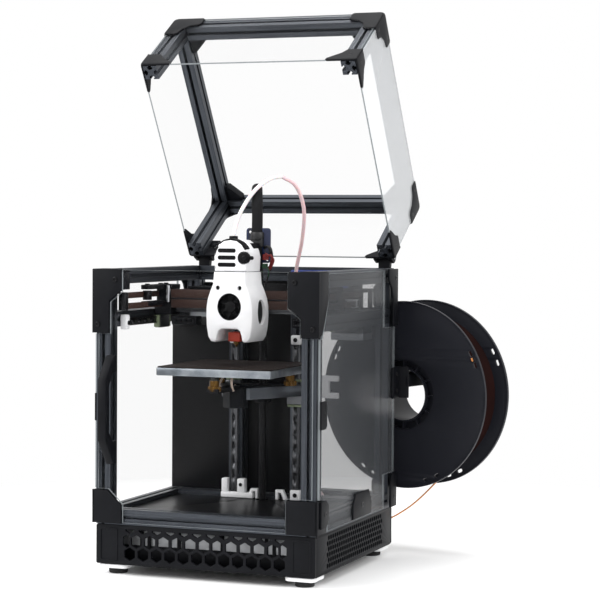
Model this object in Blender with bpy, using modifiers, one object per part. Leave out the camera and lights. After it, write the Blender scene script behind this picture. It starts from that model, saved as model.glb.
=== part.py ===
"""A small enclosed desktop fdm printer: a T-slot aluminium frame with clear panels, a skirted base, a hinged
front door, a hinged top cover held open, a crossed-belt gantry, a lifting bed and a spool on the back.

X runs to the right, Y to the back and Z up. The origin is on the table, under the middle of the whole
object's outline. Sizes below are millimetres, measured from the middle of the frame's plan at table height,
and MM turns them into Blender's metres."""

import math

import bmesh
import bpy
from mathutils import Matrix, Vector

MM = 0.001

# Driving dimensions
FRAME = 230.0  # the frame's outside width and depth
BEAM = 15.0  # the T-slot section
FRAME_BOTTOM = 50.0
FRAME_TOP = 300.0
GAP = 0.3  # clearance between pieces that touch
PANEL = 2.5  # clear sheet
PRINTED = 3.2  # wall of the printed covers
BASE_BOTTOM = 10.8
LID_OPEN = 57.5  # degrees, how far the top cover stands open
LID_HEIGHT = 100.0
LID_AXIS = (0.0, 122.6, 310.4)
DOOR_AXIS = (112.0, -117.8, 0.0)
SPOOL_FACE = (122.7, 125.0, 166.9)  # middle of the front flange's outer face
SPOOL_YAW = 13.0  # degrees, how far the spool's axis turns from Y towards X
SPOOL_RADIUS = 98.5
SPOOL_WIDTH = 52.0
BORE_RADIUS = 27.0
SCREW_PLACE = (0.0, 36.0)
SCREW_RADIUS = 4.0
FAN_PLACE = (2.2, -60.0, 263.1)
FAN_RADIUS = 13.5
SWITCH_PLACE = (-78.0, 113.5, 30.0)
SWITCH_TILT = 7.0  # degrees, the rocker's lean while it is off
OUTLINE_MIDDLE = (55.936, 27.179)  # middle of the whole object's outline, in X and Y

HALF = FRAME / 2
POST = HALF - BEAM / 2
INNER = HALF - BEAM - GAP
OUT = HALF + GAP  # inner face of what lies on the outside of the frame

# Finishes: colour, roughness, metallic and alpha
ANODISED = ((0.075, 0.08, 0.09), 0.42, 0.9, 1.0)
PRINTED_BLACK = ((0.018, 0.018, 0.020), 0.6, 0.0, 1.0)
PRINTED_WHITE = ((0.85, 0.85, 0.86), 0.5, 0.0, 1.0)
BLACK_SHEET = ((0.02, 0.02, 0.022), 0.35, 0.0, 1.0)
CLEAR_SHEET = ((0.8, 0.82, 0.84), 0.06, 0.0, 0.35)
BARE_METAL = ((0.6, 0.61, 0.63), 0.35, 1.0, 1.0)
SPRING_STEEL = ((0.08, 0.06, 0.05), 0.55, 0.3, 1.0)
MOTOR_BLACK = ((0.03, 0.03, 0.035), 0.45, 0.3, 1.0)
TUBE_WHITE = ((0.86, 0.82, 0.82), 0.4, 0.0, 1.0)
SLEEVE_BLACK = ((0.02, 0.02, 0.02), 0.9, 0.0, 1.0)
FILAMENT_COPPER = ((0.55, 0.25, 0.09), 0.4, 0.0, 1.0)


# ---------------------------------------------------------------- the scene and its collections
for old in list(bpy.data.objects):
    bpy.data.objects.remove(old)
PARTS = bpy.data.collections.new("fdm_printer")
HELPERS = bpy.data.collections.new("cutters")
bpy.context.scene.collection.children.link(PARTS)
bpy.context.scene.collection.children.link(HELPERS)


def pivot_at(name, place, parent=None):
    """An empty on a joint's axis, or at the middle of the frame. place is in frame millimetres."""
    empty = bpy.data.objects.new(name, None)
    PARTS.objects.link(empty)
    empty["place"] = place
    base = parent["place"] if parent else OUTLINE_MIDDLE + (0.0,)
    empty.parent = parent
    empty.location = (Vector(place) - Vector(base)) * MM
    return empty


FIXED = pivot_at("frame_middle", (0.0, 0.0, 0.0))
LID = pivot_at("lid_pivot", LID_AXIS, FIXED)
DOOR = pivot_at("door_pivot", DOOR_AXIS, FIXED)
SPOOL = pivot_at("spool_pivot", SPOOL_FACE, FIXED)
LID.rotation_euler.x = -math.radians(LID_OPEN)
SPOOL.rotation_euler.z = -math.radians(SPOOL_YAW)


def finish(obj, look, place, pivot):
    """Names the material after the piece, and hangs the piece on its pivot at a place in millimetres."""
    colour, roughness, metallic, alpha = look
    surface = bpy.data.materials.new(obj.name)
    surface.use_nodes = True
    shader = surface.node_tree.nodes["Principled BSDF"]
    shader.inputs["Base Color"].default_value = (*colour, 1.0)
    shader.inputs["Roughness"].default_value = roughness
    shader.inputs["Metallic"].default_value = metallic
    shader.inputs["Alpha"].default_value = alpha
    surface.diffuse_color = (*colour, alpha)
    obj.data.materials.append(surface)
    for collection in list(obj.users_collection):
        collection.objects.unlink(obj)
    PARTS.objects.link(obj)
    obj.parent = pivot
    obj.location = (Vector(place) - Vector(pivot["place"])) * MM
    return obj


def active(name):
    obj = bpy.context.active_object
    obj.name = name
    return obj


def box(name, x, y, z, look, pivot=FIXED, bevel=0.0):
    """A block from x[0] to x[1], and so on."""
    bpy.ops.mesh.primitive_cube_add(size=1)
    obj = active(name)
    low, high = Vector((x[0], y[0], z[0])), Vector((x[1], y[1], z[1]))
    obj.data.transform(Matrix.Diagonal((*((high - low) * MM), 1)))
    if bevel:
        rounding = obj.modifiers.new("Bevel", "BEVEL")
        rounding.width = bevel * MM
        rounding.segments = 2
    return finish(obj, look, (low + high) / 2, pivot)


TURN = {
    "X": Matrix.Rotation(math.pi / 2, 4, "Y"),
    "Y": Matrix.Rotation(-math.pi / 2, 4, "X"),
    "Z": Matrix.Identity(4),
}


def rod(name, centre, radius, length, axis, look, pivot=FIXED, sides=24):
    """A cylinder along an axis, about its middle."""
    bpy.ops.mesh.primitive_cylinder_add(vertices=sides, radius=radius * MM, depth=length * MM)
    obj = active(name)
    obj.data.transform(TURN[axis])
    obj.data.shade_smooth()
    obj.data.set_sharp_from_angle(angle=math.radians(40))
    return finish(obj, look, centre, pivot)


# A plate's own X, Y and thickness, turned to lie in the plane named
PLANES = {
    "XY": Matrix.Identity(4),
    "XZ": Matrix.Rotation(math.pi / 2, 4, "X"),
    "YZ": Matrix.Rotation(math.pi / 2, 4, "Z") @ Matrix.Rotation(math.pi / 2, 4, "X"),
}


def plate(name, outlines, thickness, plane, centre, look, pivot=FIXED):
    """A flat outline, with any further outlines as holes in it, given a thickness about its middle."""
    curve = bpy.data.curves.new(name, "CURVE")
    curve.dimensions = "2D"
    curve.fill_mode = "BOTH"
    curve.extrude = thickness / 2 * MM
    for outline in outlines:
        spline = curve.splines.new("POLY")
        spline.points.add(len(outline) - 1)
        for point, (across, up) in zip(spline.points, outline):
            point.co = (across * MM, up * MM, 0.0, 1.0)
        spline.use_cyclic_u = True
    obj = bpy.data.objects.new(name, curve)
    PARTS.objects.link(obj)
    obj.rotation_euler = PLANES[plane].to_euler()
    return finish(obj, look, centre, pivot)


def meshed(obj):
    """The same piece as a mesh, so that a Boolean can use it."""
    bpy.context.view_layer.update()
    graph = bpy.context.evaluated_depsgraph_get()
    mesh = bpy.data.meshes.new_from_object(obj.evaluated_get(graph))
    weld = bmesh.new()
    weld.from_mesh(mesh)
    bmesh.ops.remove_doubles(weld, verts=weld.verts, dist=1e-6)
    bmesh.ops.recalc_face_normals(weld, faces=weld.faces)
    weld.to_mesh(mesh)
    weld.free()
    name, parent = obj.name, obj.parent
    location, rotation = obj.location.copy(), obj.rotation_euler.copy()
    bpy.data.objects.remove(obj)
    made = bpy.data.objects.new(name, mesh)
    made.parent = parent
    made.location = location
    made.rotation_euler = rotation
    PARTS.objects.link(made)
    return made


def helper(obj):
    PARTS.objects.unlink(obj)
    HELPERS.objects.link(obj)
    obj.hide_render = True
    obj.display_type = "WIRE"
    return obj


def combine(target, operation, *others):
    for other in others:
        change = target.modifiers.new(operation.title(), "BOOLEAN")
        change.operation = operation
        change.solver = "EXACT"
        change.object = helper(other)
    return target


def mirrored(points):
    """An outline and its mirror image across X = 0."""
    return points + [(-across, up) for across, up in reversed(points)]


# ---------------------------------------------------------------- T-slot beams
def slotted_section():
    """One quarter has the corner, half a slot mouth, the undercut and the web; four close the section."""
    half = BEAM / 2
    mouth, lip, cavity, undercut, web, floor = 1.7, 6.4, 3.0, 5.2, 1.3, 3.3
    quarter = [
        (half, mouth),
        (half, half),
        (mouth, half),
        (mouth, lip),
        (cavity, lip),
        (cavity, undercut),
        (web, floor),
        (-web, floor),
        (-cavity, undercut),
        (-cavity, lip),
        (-mouth, lip),
        (-mouth, half),
    ]
    section = []
    for turn in range(4):
        c, s = math.cos(turn * math.pi / 2), math.sin(turn * math.pi / 2)
        section += [(a * c - b * s, a * s + b * c) for a, b in quarter[1:]]
    return section


SECTION = slotted_section()
ALONG = {"X": "YZ", "Y": "XZ", "Z": "XY"}


def beam(name, centre, axis, length, pivot=FIXED):
    return plate(name, [SECTION], length, ALONG[axis], centre, ANODISED, pivot)


SIDES = (("left", -1), ("right", 1))
POST_MIDDLE = (FRAME_BOTTOM + FRAME_TOP) / 2
SPAN = 2 * INNER
BASE_Z = FRAME_BOTTOM + BEAM / 2
TOP_Z = FRAME_TOP - BEAM / 2
GANTRY_Z = 250.5
Z_POST_Y = 53.0
Z_POST_X = 34.2
Z_POST_TOP = 255.0

for side, sign in SIDES:
    for end, depth in (("front", -POST), ("rear", POST)):
        beam(f"post_{end}_{side}", (sign * POST, depth, POST_MIDDLE), "Z", FRAME_TOP - FRAME_BOTTOM)
    beam(f"base_beam_{side}", (sign * POST, 0, BASE_Z), "Y", SPAN)
    beam(f"top_beam_{side}", (sign * POST, 0, TOP_Z), "Y", SPAN)
    beam(f"gantry_beam_{side}", (sign * POST, 0, GANTRY_Z), "Y", SPAN)
    post_low = FRAME_BOTTOM + BEAM + GAP
    beam(
        f"z_post_{side}",
        (sign * Z_POST_X, Z_POST_Y, (post_low + Z_POST_TOP) / 2),
        "Z",
        Z_POST_TOP - post_low,
    )
beam("base_beam_front", (0, -POST, BASE_Z), "X", SPAN)
beam("base_beam_rear", (0, POST, BASE_Z), "X", SPAN)
beam("base_beam_middle", (0, Z_POST_Y, BASE_Z), "X", SPAN)
beam("top_beam_rear", (0, POST, TOP_Z), "X", SPAN)


# ---------------------------------------------------------------- sheet panels
DECK_TOP = 60.5
MIDDLE_SHEET_RIGHT = 43.0

deck = box(
    "deck_panel",
    (-INNER, INNER),
    (-INNER, Z_POST_Y - BEAM / 2 - GAP),
    (DECK_TOP - PANEL, DECK_TOP),
    BLACK_SHEET,
)
combine(deck, "DIFFERENCE", rod("deck_hole", (*SCREW_PLACE, DECK_TOP), 6.5, 20, "Z", BLACK_SHEET))

# The middle sheet is taller between the belt motors than beside them
sheet_low, sheet_step, sheet_top = FRAME_BOTTOM + BEAM + GAP, GANTRY_Z - BEAM / 2 - 4, 283.0
middle_outline = [
    (-HALF + 1, sheet_low),
    (MIDDLE_SHEET_RIGHT, sheet_low),
    (MIDDLE_SHEET_RIGHT, sheet_top),
    (-60.0, sheet_top),
    (-60.0, sheet_step),
    (-HALF + 1, sheet_step),
]
middle_y = Z_POST_Y + BEAM / 2 + GAP + PANEL / 2
plate("middle_panel", [middle_outline], PANEL, "XZ", (0, middle_y, 0), BLACK_SHEET)

# Side panels have a notch at each corner for the printed covers and clips
EDGE = HALF - 3
side_outline = [
    (-EDGE, 84.5),
    (-EDGE, 236.5),
    (-106.5, 236.5),
    (-90.0, 272.0),
    (-90.0, FRAME_TOP - 2),
    (79.0, FRAME_TOP - 2),
    (79.0, 239.0),
    (EDGE, 239.0),
    (EDGE, 87.0),
    (81.0, 87.0),
    (81.0, FRAME_BOTTOM + 2),
    (-89.0, FRAME_BOTTOM + 2),
    (-89.0, 66.0),
    (-95.0, 78.0),
    (-106.0, 84.5),
]
for side, sign in SIDES:
    plate(f"{side}_panel", [side_outline], PANEL, "YZ", (sign * (OUT + PANEL / 2), 0, 0), CLEAR_SHEET)
box(
    "rear_panel",
    (-EDGE, EDGE),
    (OUT, OUT + PANEL),
    (FRAME_BOTTOM + 2, FRAME_TOP - 15),
    CLEAR_SHEET,
)


# ---------------------------------------------------------------- base: tray with feet, and skirts
SKIRT = 3.0
SKIRT_TOP = FRAME_BOTTOM - GAP
TRAY_TOP = BASE_BOTTOM + 2.6
FOOT_PLACE = 98.5
FOOT_RADIUS = 9.5

tray_half = HALF - SKIRT - GAP
tray_span = (-tray_half, tray_half)
tray = box("base_tray", tray_span, tray_span, (BASE_BOTTOM, TRAY_TOP), PRINTED_BLACK)
for side, sign in SIDES:
    for end, depth in (("front", -FOOT_PLACE), ("rear", FOOT_PLACE)):
        foot = rod(
            f"foot_{end}_{side}",
            (sign * FOOT_PLACE, depth, (BASE_BOTTOM + 1) / 2),
            FOOT_RADIUS,
            BASE_BOTTOM + 1,
            "Z",
            PRINTED_WHITE,
        )
        combine(tray, "UNION", foot)


def hexagon(across, up, radius):
    return [
        (across + radius * math.sin(k * math.pi / 3), up + radius * math.cos(k * math.pi / 3))
        for k in range(6)
    ]


HEX_PITCH = 14.3
HEX_RADIUS = 6.6
ROW_STEP = HEX_PITCH * math.sqrt(3) / 2
SKIRT_BOTTOM = BASE_BOTTOM - GAP
front_outline = [(-HALF, SKIRT_BOTTOM), (HALF, SKIRT_BOTTOM), (HALF, SKIRT_TOP), (-HALF, SKIRT_TOP)]
hexes = []
for row in range(2):
    count = 12 - row
    for column in range(count):
        across = (column - (count - 1) / 2) * HEX_PITCH
        hexes.append(hexagon(across, 21.5 + row * ROW_STEP, HEX_RADIUS))
plate("skirt_front", [front_outline] + hexes, SKIRT, "XZ", (0, -HALF + SKIRT / 2, 0), PRINTED_BLACK)

skirt_reach = HALF - SKIRT - GAP
for side, sign in SIDES:
    box(
        f"skirt_{side}",
        tuple(sorted((sign * (HALF - SKIRT), sign * HALF))),
        (-skirt_reach, skirt_reach),
        (SKIRT_BOTTOM, SKIRT_TOP),
        PRINTED_BLACK,
    )
x_switch, y_switch, z_switch = SWITCH_PLACE
switch_hole = [
    (x_switch - 7.5, z_switch - 10.5),
    (x_switch + 7.5, z_switch - 10.5),
    (x_switch + 7.5, z_switch + 10.5),
    (x_switch - 7.5, z_switch + 10.5),
]
plate("skirt_rear", [front_outline, switch_hole], SKIRT, "XZ", (0, HALF - SKIRT / 2, 0), PRINTED_BLACK)
rocker = box(
    "rocker_switch",
    (x_switch - 6.5, x_switch + 6.5),
    (y_switch - 3.5, y_switch + 3.5),
    (z_switch - 9.0, z_switch + 9.0),
    PRINTED_BLACK,
)
rocker.rotation_euler.x = math.radians(SWITCH_TILT)


# ---------------------------------------------------------------- printed idler blocks, top front corners
SHOULDER = {"left": 279.0, "right": 266.0}
COVER_OUT = OUT + PRINTED
for side, sign in SIDES:
    wide, narrow, low = 87.3, 100.2, 237.6
    step = SHOULDER[side]
    front = [
        (sign * COVER_OUT, low),
        (sign * COVER_OUT, FRAME_TOP),
        (sign * wide, FRAME_TOP),
        (sign * wide, step),
        (sign * narrow, step - 10),
        (sign * narrow, low),
    ]
    inset = 0.4  # keeps the walls' faces out of one plane where they join
    flank = [
        (-COVER_OUT + inset, low + inset),
        (-107.5, low + 3),
        (-91.0, 273.0),
        (-91.0, FRAME_TOP - inset),
        (-COVER_OUT + inset, FRAME_TOP - inset),
    ]
    face_middle = (0, -OUT - PRINTED / 2, 0)
    block = meshed(plate(f"idler_block_{side}", [front], PRINTED, "XZ", face_middle, PRINTED_BLACK))
    thin = PRINTED - inset
    flank_middle = (sign * (OUT + thin / 2), 0, 0)
    side_wall = meshed(plate(f"flank_{side}", [flank], thin, "YZ", flank_middle, PRINTED_BLACK))
    housing = box(
        f"housing_{side}",
        tuple(sorted((sign * (wide + 0.8), sign * INNER))),
        (-OUT - 1, -96.0),
        (step + 2 * inset, FRAME_TOP - 2 * inset),
        PRINTED_BLACK,
    )
    combine(block, "UNION", side_wall, housing)


# ---------------------------------------------------------------- front door and its handle
door_outline = [
    (-112.0, 85.0),
    (-112.0, 236.8),
    (-99.2, 236.8),
    (-99.2, SHOULDER["left"] - 11),
    (-86.5, SHOULDER["left"] - 1),
    (-86.5, FRAME_TOP - 0.5),
    (86.5, FRAME_TOP - 0.5),
    (86.5, SHOULDER["right"] - 1),
    (99.2, SHOULDER["right"] - 11),
    (99.2, 236.8),
    (112.0, 236.8),
    (112.0, 85.0),
    (85.5, 85.0),
    (85.5, FRAME_BOTTOM + 2),
    (-85.5, FRAME_BOTTOM + 2),
    (-85.5, 70.5),
    (-101.0, 85.0),
]
plate("door_panel", [door_outline], PANEL, "XZ", (0, -OUT - PANEL / 2, 0), CLEAR_SHEET, DOOR)

HANDLE_BACK = -OUT - PANEL - GAP
handle_outline = [
    (HANDLE_BACK, 216.4),
    (HANDLE_BACK - 7.5, 216.4),
    (-143.6, 193.5),
    (-143.6, 135.0),
    (HANDLE_BACK - 7.5, 110.2),
    (HANDLE_BACK, 110.2),
    (HANDLE_BACK, 133.0),
    (-127.0, 133.0),
    (-134.4, 142.0),
    (-134.4, 188.0),
    (-127.0, 199.6),
    (HANDLE_BACK, 199.6),
]
plate("door_handle", [handle_outline], 13.0, "YZ", (-95.5, 0, 0), PRINTED_BLACK, DOOR)


# ---------------------------------------------------------------- gantry: X beam between two belt joints
X_BEAM_Y = -10.0
X_BEAM_Z = 267.0
X_BEAM_REACH = 79.2
beam("x_beam", (0, X_BEAM_Y, X_BEAM_Z), "X", 2 * X_BEAM_REACH)
for side, sign in SIDES:
    joint = box(
        f"xy_joint_{side}",
        tuple(sorted((sign * 79.5, sign * 98.6))),
        (-18.4, 4.0),
        (252.0, 283.0),
        PRINTED_BLACK,
    )
    arm = box(
        f"belt_arm_{side}",
        tuple(sorted((sign * 87.5, sign * 98.6))),
        (-52.0, -17.0),
        (262.0, 283.0),
        PRINTED_BLACK,
    )
    combine(joint, "UNION", arm)


# ---------------------------------------------------------------- toolhead: cowl, nozzle and fan
COWL_MIDDLE = 2.0
COWL_FRONT = -60.0
COWL_BACK = -18.8
COWL_HALF_OUTLINE = [
    (13.0, 240.0),
    (14.5, 228.0),
    (21.0, 227.8),
    (25.2, 236.0),
    (26.7, 250.0),
    (26.4, 266.0),
    (23.0, 279.0),
    (17.8, 289.0),
    (17.8, 314.0),
    (13.5, 324.0),
    (6.0, 329.0),
]
cowl = meshed(
    plate(
        "toolhead",
        [mirrored(COWL_HALF_OUTLINE)],
        COWL_BACK - COWL_FRONT,
        "XZ",
        (COWL_MIDDLE, (COWL_BACK + COWL_FRONT) / 2, 0),
        PRINTED_WHITE,
    )
)
hot_block = box("hot_block", (-5, 9), (-44, -32), (229, 241), BARE_METAL)
nozzle = rod("nozzle_tip", (COWL_MIDDLE, -38, 226.5), 2.5, 8, "Z", BARE_METAL, sides=12)
fan_recess = rod("fan_recess", FAN_PLACE, FAN_RADIUS, 18, "Y", PRINTED_BLACK)
combine(cowl, "UNION", hot_block, nozzle)
combine(cowl, "DIFFERENCE", fan_recess)

ROTOR_RADIUS = 12.4
rod("toolhead_fan", (FAN_PLACE[0], -55.0, FAN_PLACE[2]), ROTOR_RADIUS, 5.0, "Y", PRINTED_BLACK)


# ---------------------------------------------------------------- bed: carrier, plate and flex sheet
ARM_LOW, ARM_HIGH = 169.5, 181.5
BED_LOW, BED_HIGH = 196.0, 203.6
NOSE_Y = -42.0
nose = [(0, -52), (10.5, -44), (10.5, -30), (-10.5, -30), (-10.5, -44)]
carrier = meshed(plate("bed_carrier", [nose], 20.0, "XY", (0, 0, 172.0), PRINTED_BLACK))
right_arm = [(0.5, -36), (10.0, -36), (44.0, 30), (44.0, 44.2), (33.5, 44.2), (33.5, 32)]
left_arm = [(-across, up) for across, up in reversed(right_arm)]
arm_depth = ARM_HIGH - ARM_LOW
arm_middle = (0, 0, (ARM_LOW + ARM_HIGH) / 2)
pieces = [
    meshed(plate("arm_right", [right_arm], arm_depth, "XY", arm_middle, ANODISED)),
    meshed(plate("arm_left", [left_arm], arm_depth, "XY", arm_middle, ANODISED)),
    box("cross_bar", (-40, 40), (27.0, 44.0), (170.5, 180.5), ANODISED),
    box("tongue", (-6, 6), (-96, -40), (179.5, 184.5), PRINTED_BLACK),
    rod("stand_front", (0, -90, 188.5), 4.0, 14.4, "Z", BARE_METAL, sides=12),
    rod("stand_right", (37.5, 18, 188.0), 4.0, 15.4, "Z", BARE_METAL, sides=12),
    rod("stand_left", (-37.5, 18, 188.0), 4.0, 15.4, "Z", BARE_METAL, sides=12),
]
combine(carrier, "UNION", *pieces)
screw_bore = rod("screw_bore", (*SCREW_PLACE, 175.0), SCREW_RADIUS + 0.5, 40, "Z", BARE_METAL)
combine(carrier, "DIFFERENCE", screw_bore)
box("bed_plate", (-60.5, 60.5), (-95.0, 25.0), (BED_LOW, BED_HIGH), BARE_METAL)
box("flex_plate", (-60.0, 60.0), (-94.5, 24.5), (BED_HIGH + GAP, BED_HIGH + GAP + 0.9), SPRING_STEEL)


# ---------------------------------------------------------------- lift: motor and lead screw
MOTOR = 35.2
Z_MOTOR_TOP = 49.6
x_screw, y_screw = SCREW_PLACE
box(
    "z_motor",
    (x_screw - MOTOR / 2, x_screw + MOTOR / 2),
    (y_screw - MOTOR / 2, y_screw + MOTOR / 2),
    (Z_MOTOR_TOP - 28, Z_MOTOR_TOP),
    MOTOR_BLACK,
)
SCREW_LOW, SCREW_HIGH = Z_MOTOR_TOP + GAP, 236.0
rod(
    "lead_screw",
    (x_screw, y_screw, (SCREW_LOW + SCREW_HIGH) / 2),
    SCREW_RADIUS,
    SCREW_HIGH - SCREW_LOW,
    "Z",
    BARE_METAL,
    sides=16,
)


# ---------------------------------------------------------------- belt drives in the rear corners
DRIVE_X, DRIVE_Y = 80.5, 81.5
for side, sign in SIDES:
    x_drive = sign * DRIVE_X
    drive = box(
        f"belt_drive_{side}",
        (x_drive - MOTOR / 2, x_drive + MOTOR / 2),
        (DRIVE_Y - MOTOR / 2, DRIVE_Y + MOTOR / 2),
        (226.0, 254.0),
        MOTOR_BLACK,
    )
    mount = box(
        f"mount_{side}",
        (x_drive - 18.9, x_drive + 18.9),
        (DRIVE_Y - 18.4, DRIVE_Y + 18.2),
        (253.0, 259.0),
        PRINTED_BLACK,
    )
    pulley = rod(f"pulley_{side}", (x_drive, DRIVE_Y, 268.0), 6.5, 20.0, "Z", BARE_METAL, sides=20)
    combine(drive, "UNION", mount, pulley)


# ---------------------------------------------------------------- power supply in the base
box("power_supply", (-97, 97), (-99, -33), (TRAY_TOP + GAP, 43.0), BARE_METAL)


# ---------------------------------------------------------------- top cover: ring of beams, posts, clear sheet
LID_LOW = FRAME_TOP + 0.5
LID_TOP = LID_LOW + LID_HEIGHT
RING_Z = LID_TOP - BEAM / 2
LID_POST_MIDDLE = (LID_LOW + LID_TOP) / 2
for side, sign in SIDES:
    for end, depth in (("front", -POST), ("rear", POST)):
        beam(f"lid_post_{end}_{side}", (sign * POST, depth, LID_POST_MIDDLE), "Z", LID_HEIGHT, LID)
    beam(f"lid_beam_{side}", (sign * POST, 0, RING_Z), "Y", SPAN, LID)
beam("lid_beam_front", (0, -POST, RING_Z), "X", SPAN, LID)
beam("lid_beam_rear", (0, POST, RING_Z), "X", SPAN, LID)

LID_SHEET = 2.2
sheet_out = OUT + LID_SHEET
glazing = box(
    "lid_glazing",
    (-sheet_out, sheet_out),
    (-sheet_out, sheet_out),
    (LID_LOW + GAP, LID_TOP + GAP + LID_SHEET),
    CLEAR_SHEET,
    LID,
)
inside = (-OUT, OUT)
lid_space = box("lid_space", inside, inside, (LID_LOW - 10, LID_TOP + GAP), CLEAR_SHEET, LID)
combine(glazing, "DIFFERENCE", lid_space)


# ---------------------------------------------------------------- cover hinges: the knuckles on the frame
for side, sign in SIDES:
    x_hinge = sign * 103.0
    foot_face = OUT + PANEL + GAP
    knuckle = rod(f"lid_hinge_{side}", (x_hinge, *LID_AXIS[1:]), 4.5, 13.0, "X", PRINTED_BLACK, sides=16)
    leg = box(
        f"hinge_leg_{side}",
        (x_hinge - 6.5, x_hinge + 6.5),
        (foot_face, foot_face + 6.0),
        (FRAME_TOP - 14, LID_AXIS[2] - 3),
        PRINTED_BLACK,
    )
    heel = box(
        f"hinge_heel_{side}",
        (x_hinge - 6.5, x_hinge + 6.5),
        (OUT, foot_face + 5.0),
        (FRAME_TOP - 14, FRAME_TOP - 1),
        PRINTED_BLACK,
    )
    combine(knuckle, "UNION", leg, heel)


# ---------------------------------------------------------------- spool holder and spool
holder = box("spool_holder", (97.0, 131.0), (118.1, 121.1), (164.0, 197.0), PRINTED_BLACK)
corner_leg = box("corner_leg", (118.1, 121.1), (99.0, 121.0), (164.0, 197.0), PRINTED_BLACK)
peg_top = SPOOL_FACE[2] + BORE_RADIUS - 3.2
peg = box(
    "peg",
    (SPOOL_FACE[0] - 9, SPOOL_FACE[0] + 9),
    (118.5, 118.5 + SPOOL_WIDTH + 12),
    (peg_top - 15, peg_top),
    PRINTED_BLACK,
    SPOOL,
)
combine(holder, "UNION", corner_leg, peg)


def turned(name, profile, look, pivot, steps):
    """A profile of (radius, place along the axis), closed and turned about the pivot's Y axis."""
    ring = bmesh.new()
    corners = [ring.verts.new((radius * MM, along * MM, 0)) for radius, along in profile]
    for corner, following in zip(corners, corners[1:] + corners[:1]):
        ring.edges.new((corner, following))
    mesh = bpy.data.meshes.new(name)
    ring.to_mesh(mesh)
    ring.free()
    obj = bpy.data.objects.new(name, mesh)
    PARTS.objects.link(obj)
    spin = obj.modifiers.new("Screw", "SCREW")
    spin.axis = "Y"
    spin.steps = steps
    spin.render_steps = steps
    spin.use_merge_vertices = True
    spin.merge_threshold = 0.00001
    spin.use_smooth_shade = False
    return finish(obj, look, pivot["place"], pivot)


FLANGE = 3.6
WOUND_RADIUS = 84.0
reel_profile = [
    (BORE_RADIUS, 0),
    (SPOOL_RADIUS, 0),
    (SPOOL_RADIUS, FLANGE),
    (WOUND_RADIUS, FLANGE),
    (WOUND_RADIUS, SPOOL_WIDTH - FLANGE),
    (SPOOL_RADIUS, SPOOL_WIDTH - FLANGE),
    (SPOOL_RADIUS, SPOOL_WIDTH),
    (BORE_RADIUS, SPOOL_WIDTH),
]
turned("spool", reel_profile[::-1], PRINTED_BLACK, SPOOL, 64)


# ---------------------------------------------------------------- tube, cable sleeve and filament
def smooth_path(points, count):
    """Points at even steps of a Catmull-Rom curve through the route's own points."""
    route = [Vector(p) for p in points]
    padded = [2 * route[0] - route[1]] + route + [2 * route[-1] - route[-2]]
    path = []
    for k in range(count):
        along = k * (len(route) - 1) / (count - 1)
        n = min(int(along), len(route) - 2)
        t = along - n
        a, b, c, d = padded[n : n + 4]
        path.append(
            0.5 * (2 * b + (c - a) * t + (2 * a - 5 * b + 4 * c - d) * t**2 + (3 * b - a - 3 * c + d) * t**3)
        )
    return path


def cable(name, points, diameter, count, look, resolution):
    curve = bpy.data.curves.new(name, "CURVE")
    curve.dimensions = "3D"
    curve.bevel_depth = diameter / 2 * MM
    curve.bevel_resolution = resolution
    curve.use_fill_caps = True
    path = smooth_path(points, count)
    spline = curve.splines.new("POLY")
    spline.points.add(len(path) - 1)
    for point, place in zip(spline.points, path):
        point.co = (*(place * MM), 1.0)
    obj = bpy.data.objects.new(name, curve)
    PARTS.objects.link(obj)
    return finish(obj, look, (0, 0, 0), FIXED)


TUBE_ROUTE = [
    (-6, -30, 329.6),
    (-5, -29, 340),
    (-1, -21, 359),
    (8, -8, 379),
    (18.8, 5, 390.5),
    (26.5, 18, 393.4),
    (35, 36, 384),
    (37, 54, 361),
    (29, 71, 330),
    (18, 84, 300),
    (13, 90, 270),
    (12, 91, 230),
    (14, 91, 180),
    (20, 90, 130),
    (34, 86, 85),
    (58, 84, 50),
    (84, 92, 34),
    (98, 102, 31),
    (101, 111, 31),
]
cable("bowden_tube", TUBE_ROUTE, 4.0, 78, TUBE_WHITE, 2)

SLEEVE_ROUTE = [
    (14, -17, 330),
    (13, -14, 345),
    (11, -9, 362),
    (7, 0, 376),
    (2, 12, 381),
    (-4, 26, 374),
    (-9, 40, 352),
    (-14, 52, 322),
    (-18, 64, 300),
    (-21, 74, 276),
    (-22, 78, 250),
]
cable("cable_sleeve", SLEEVE_ROUTE, 11.0, 24, SLEEVE_BLACK, 2)

FILAMENT_ROUTE = [
    (184.5, 137.4, 103.1),
    (166, 141, 86),
    (148, 139, 66),
    (133, 133, 51),
    (119, 125.5, 40.5),
    (108, 119.8, 34.5),
    (101, 116.4, 31.5),
]
cable("filament", FILAMENT_ROUTE, 1.75, 30, FILAMENT_COPPER, 2)
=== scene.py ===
"""The finish of a small enclosed fdm printer: T-slot frame, clear sheets, printed corner pieces, a crossed-belt
gantry with its toolhead, a lifting bed, a top cover standing open and a reel of filament on the back.

Sizes are millimetres from the middle of the frame's plan at table height: X right, Y back, Z up."""

import math

import bpy
from mathutils import Matrix, Vector


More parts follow.
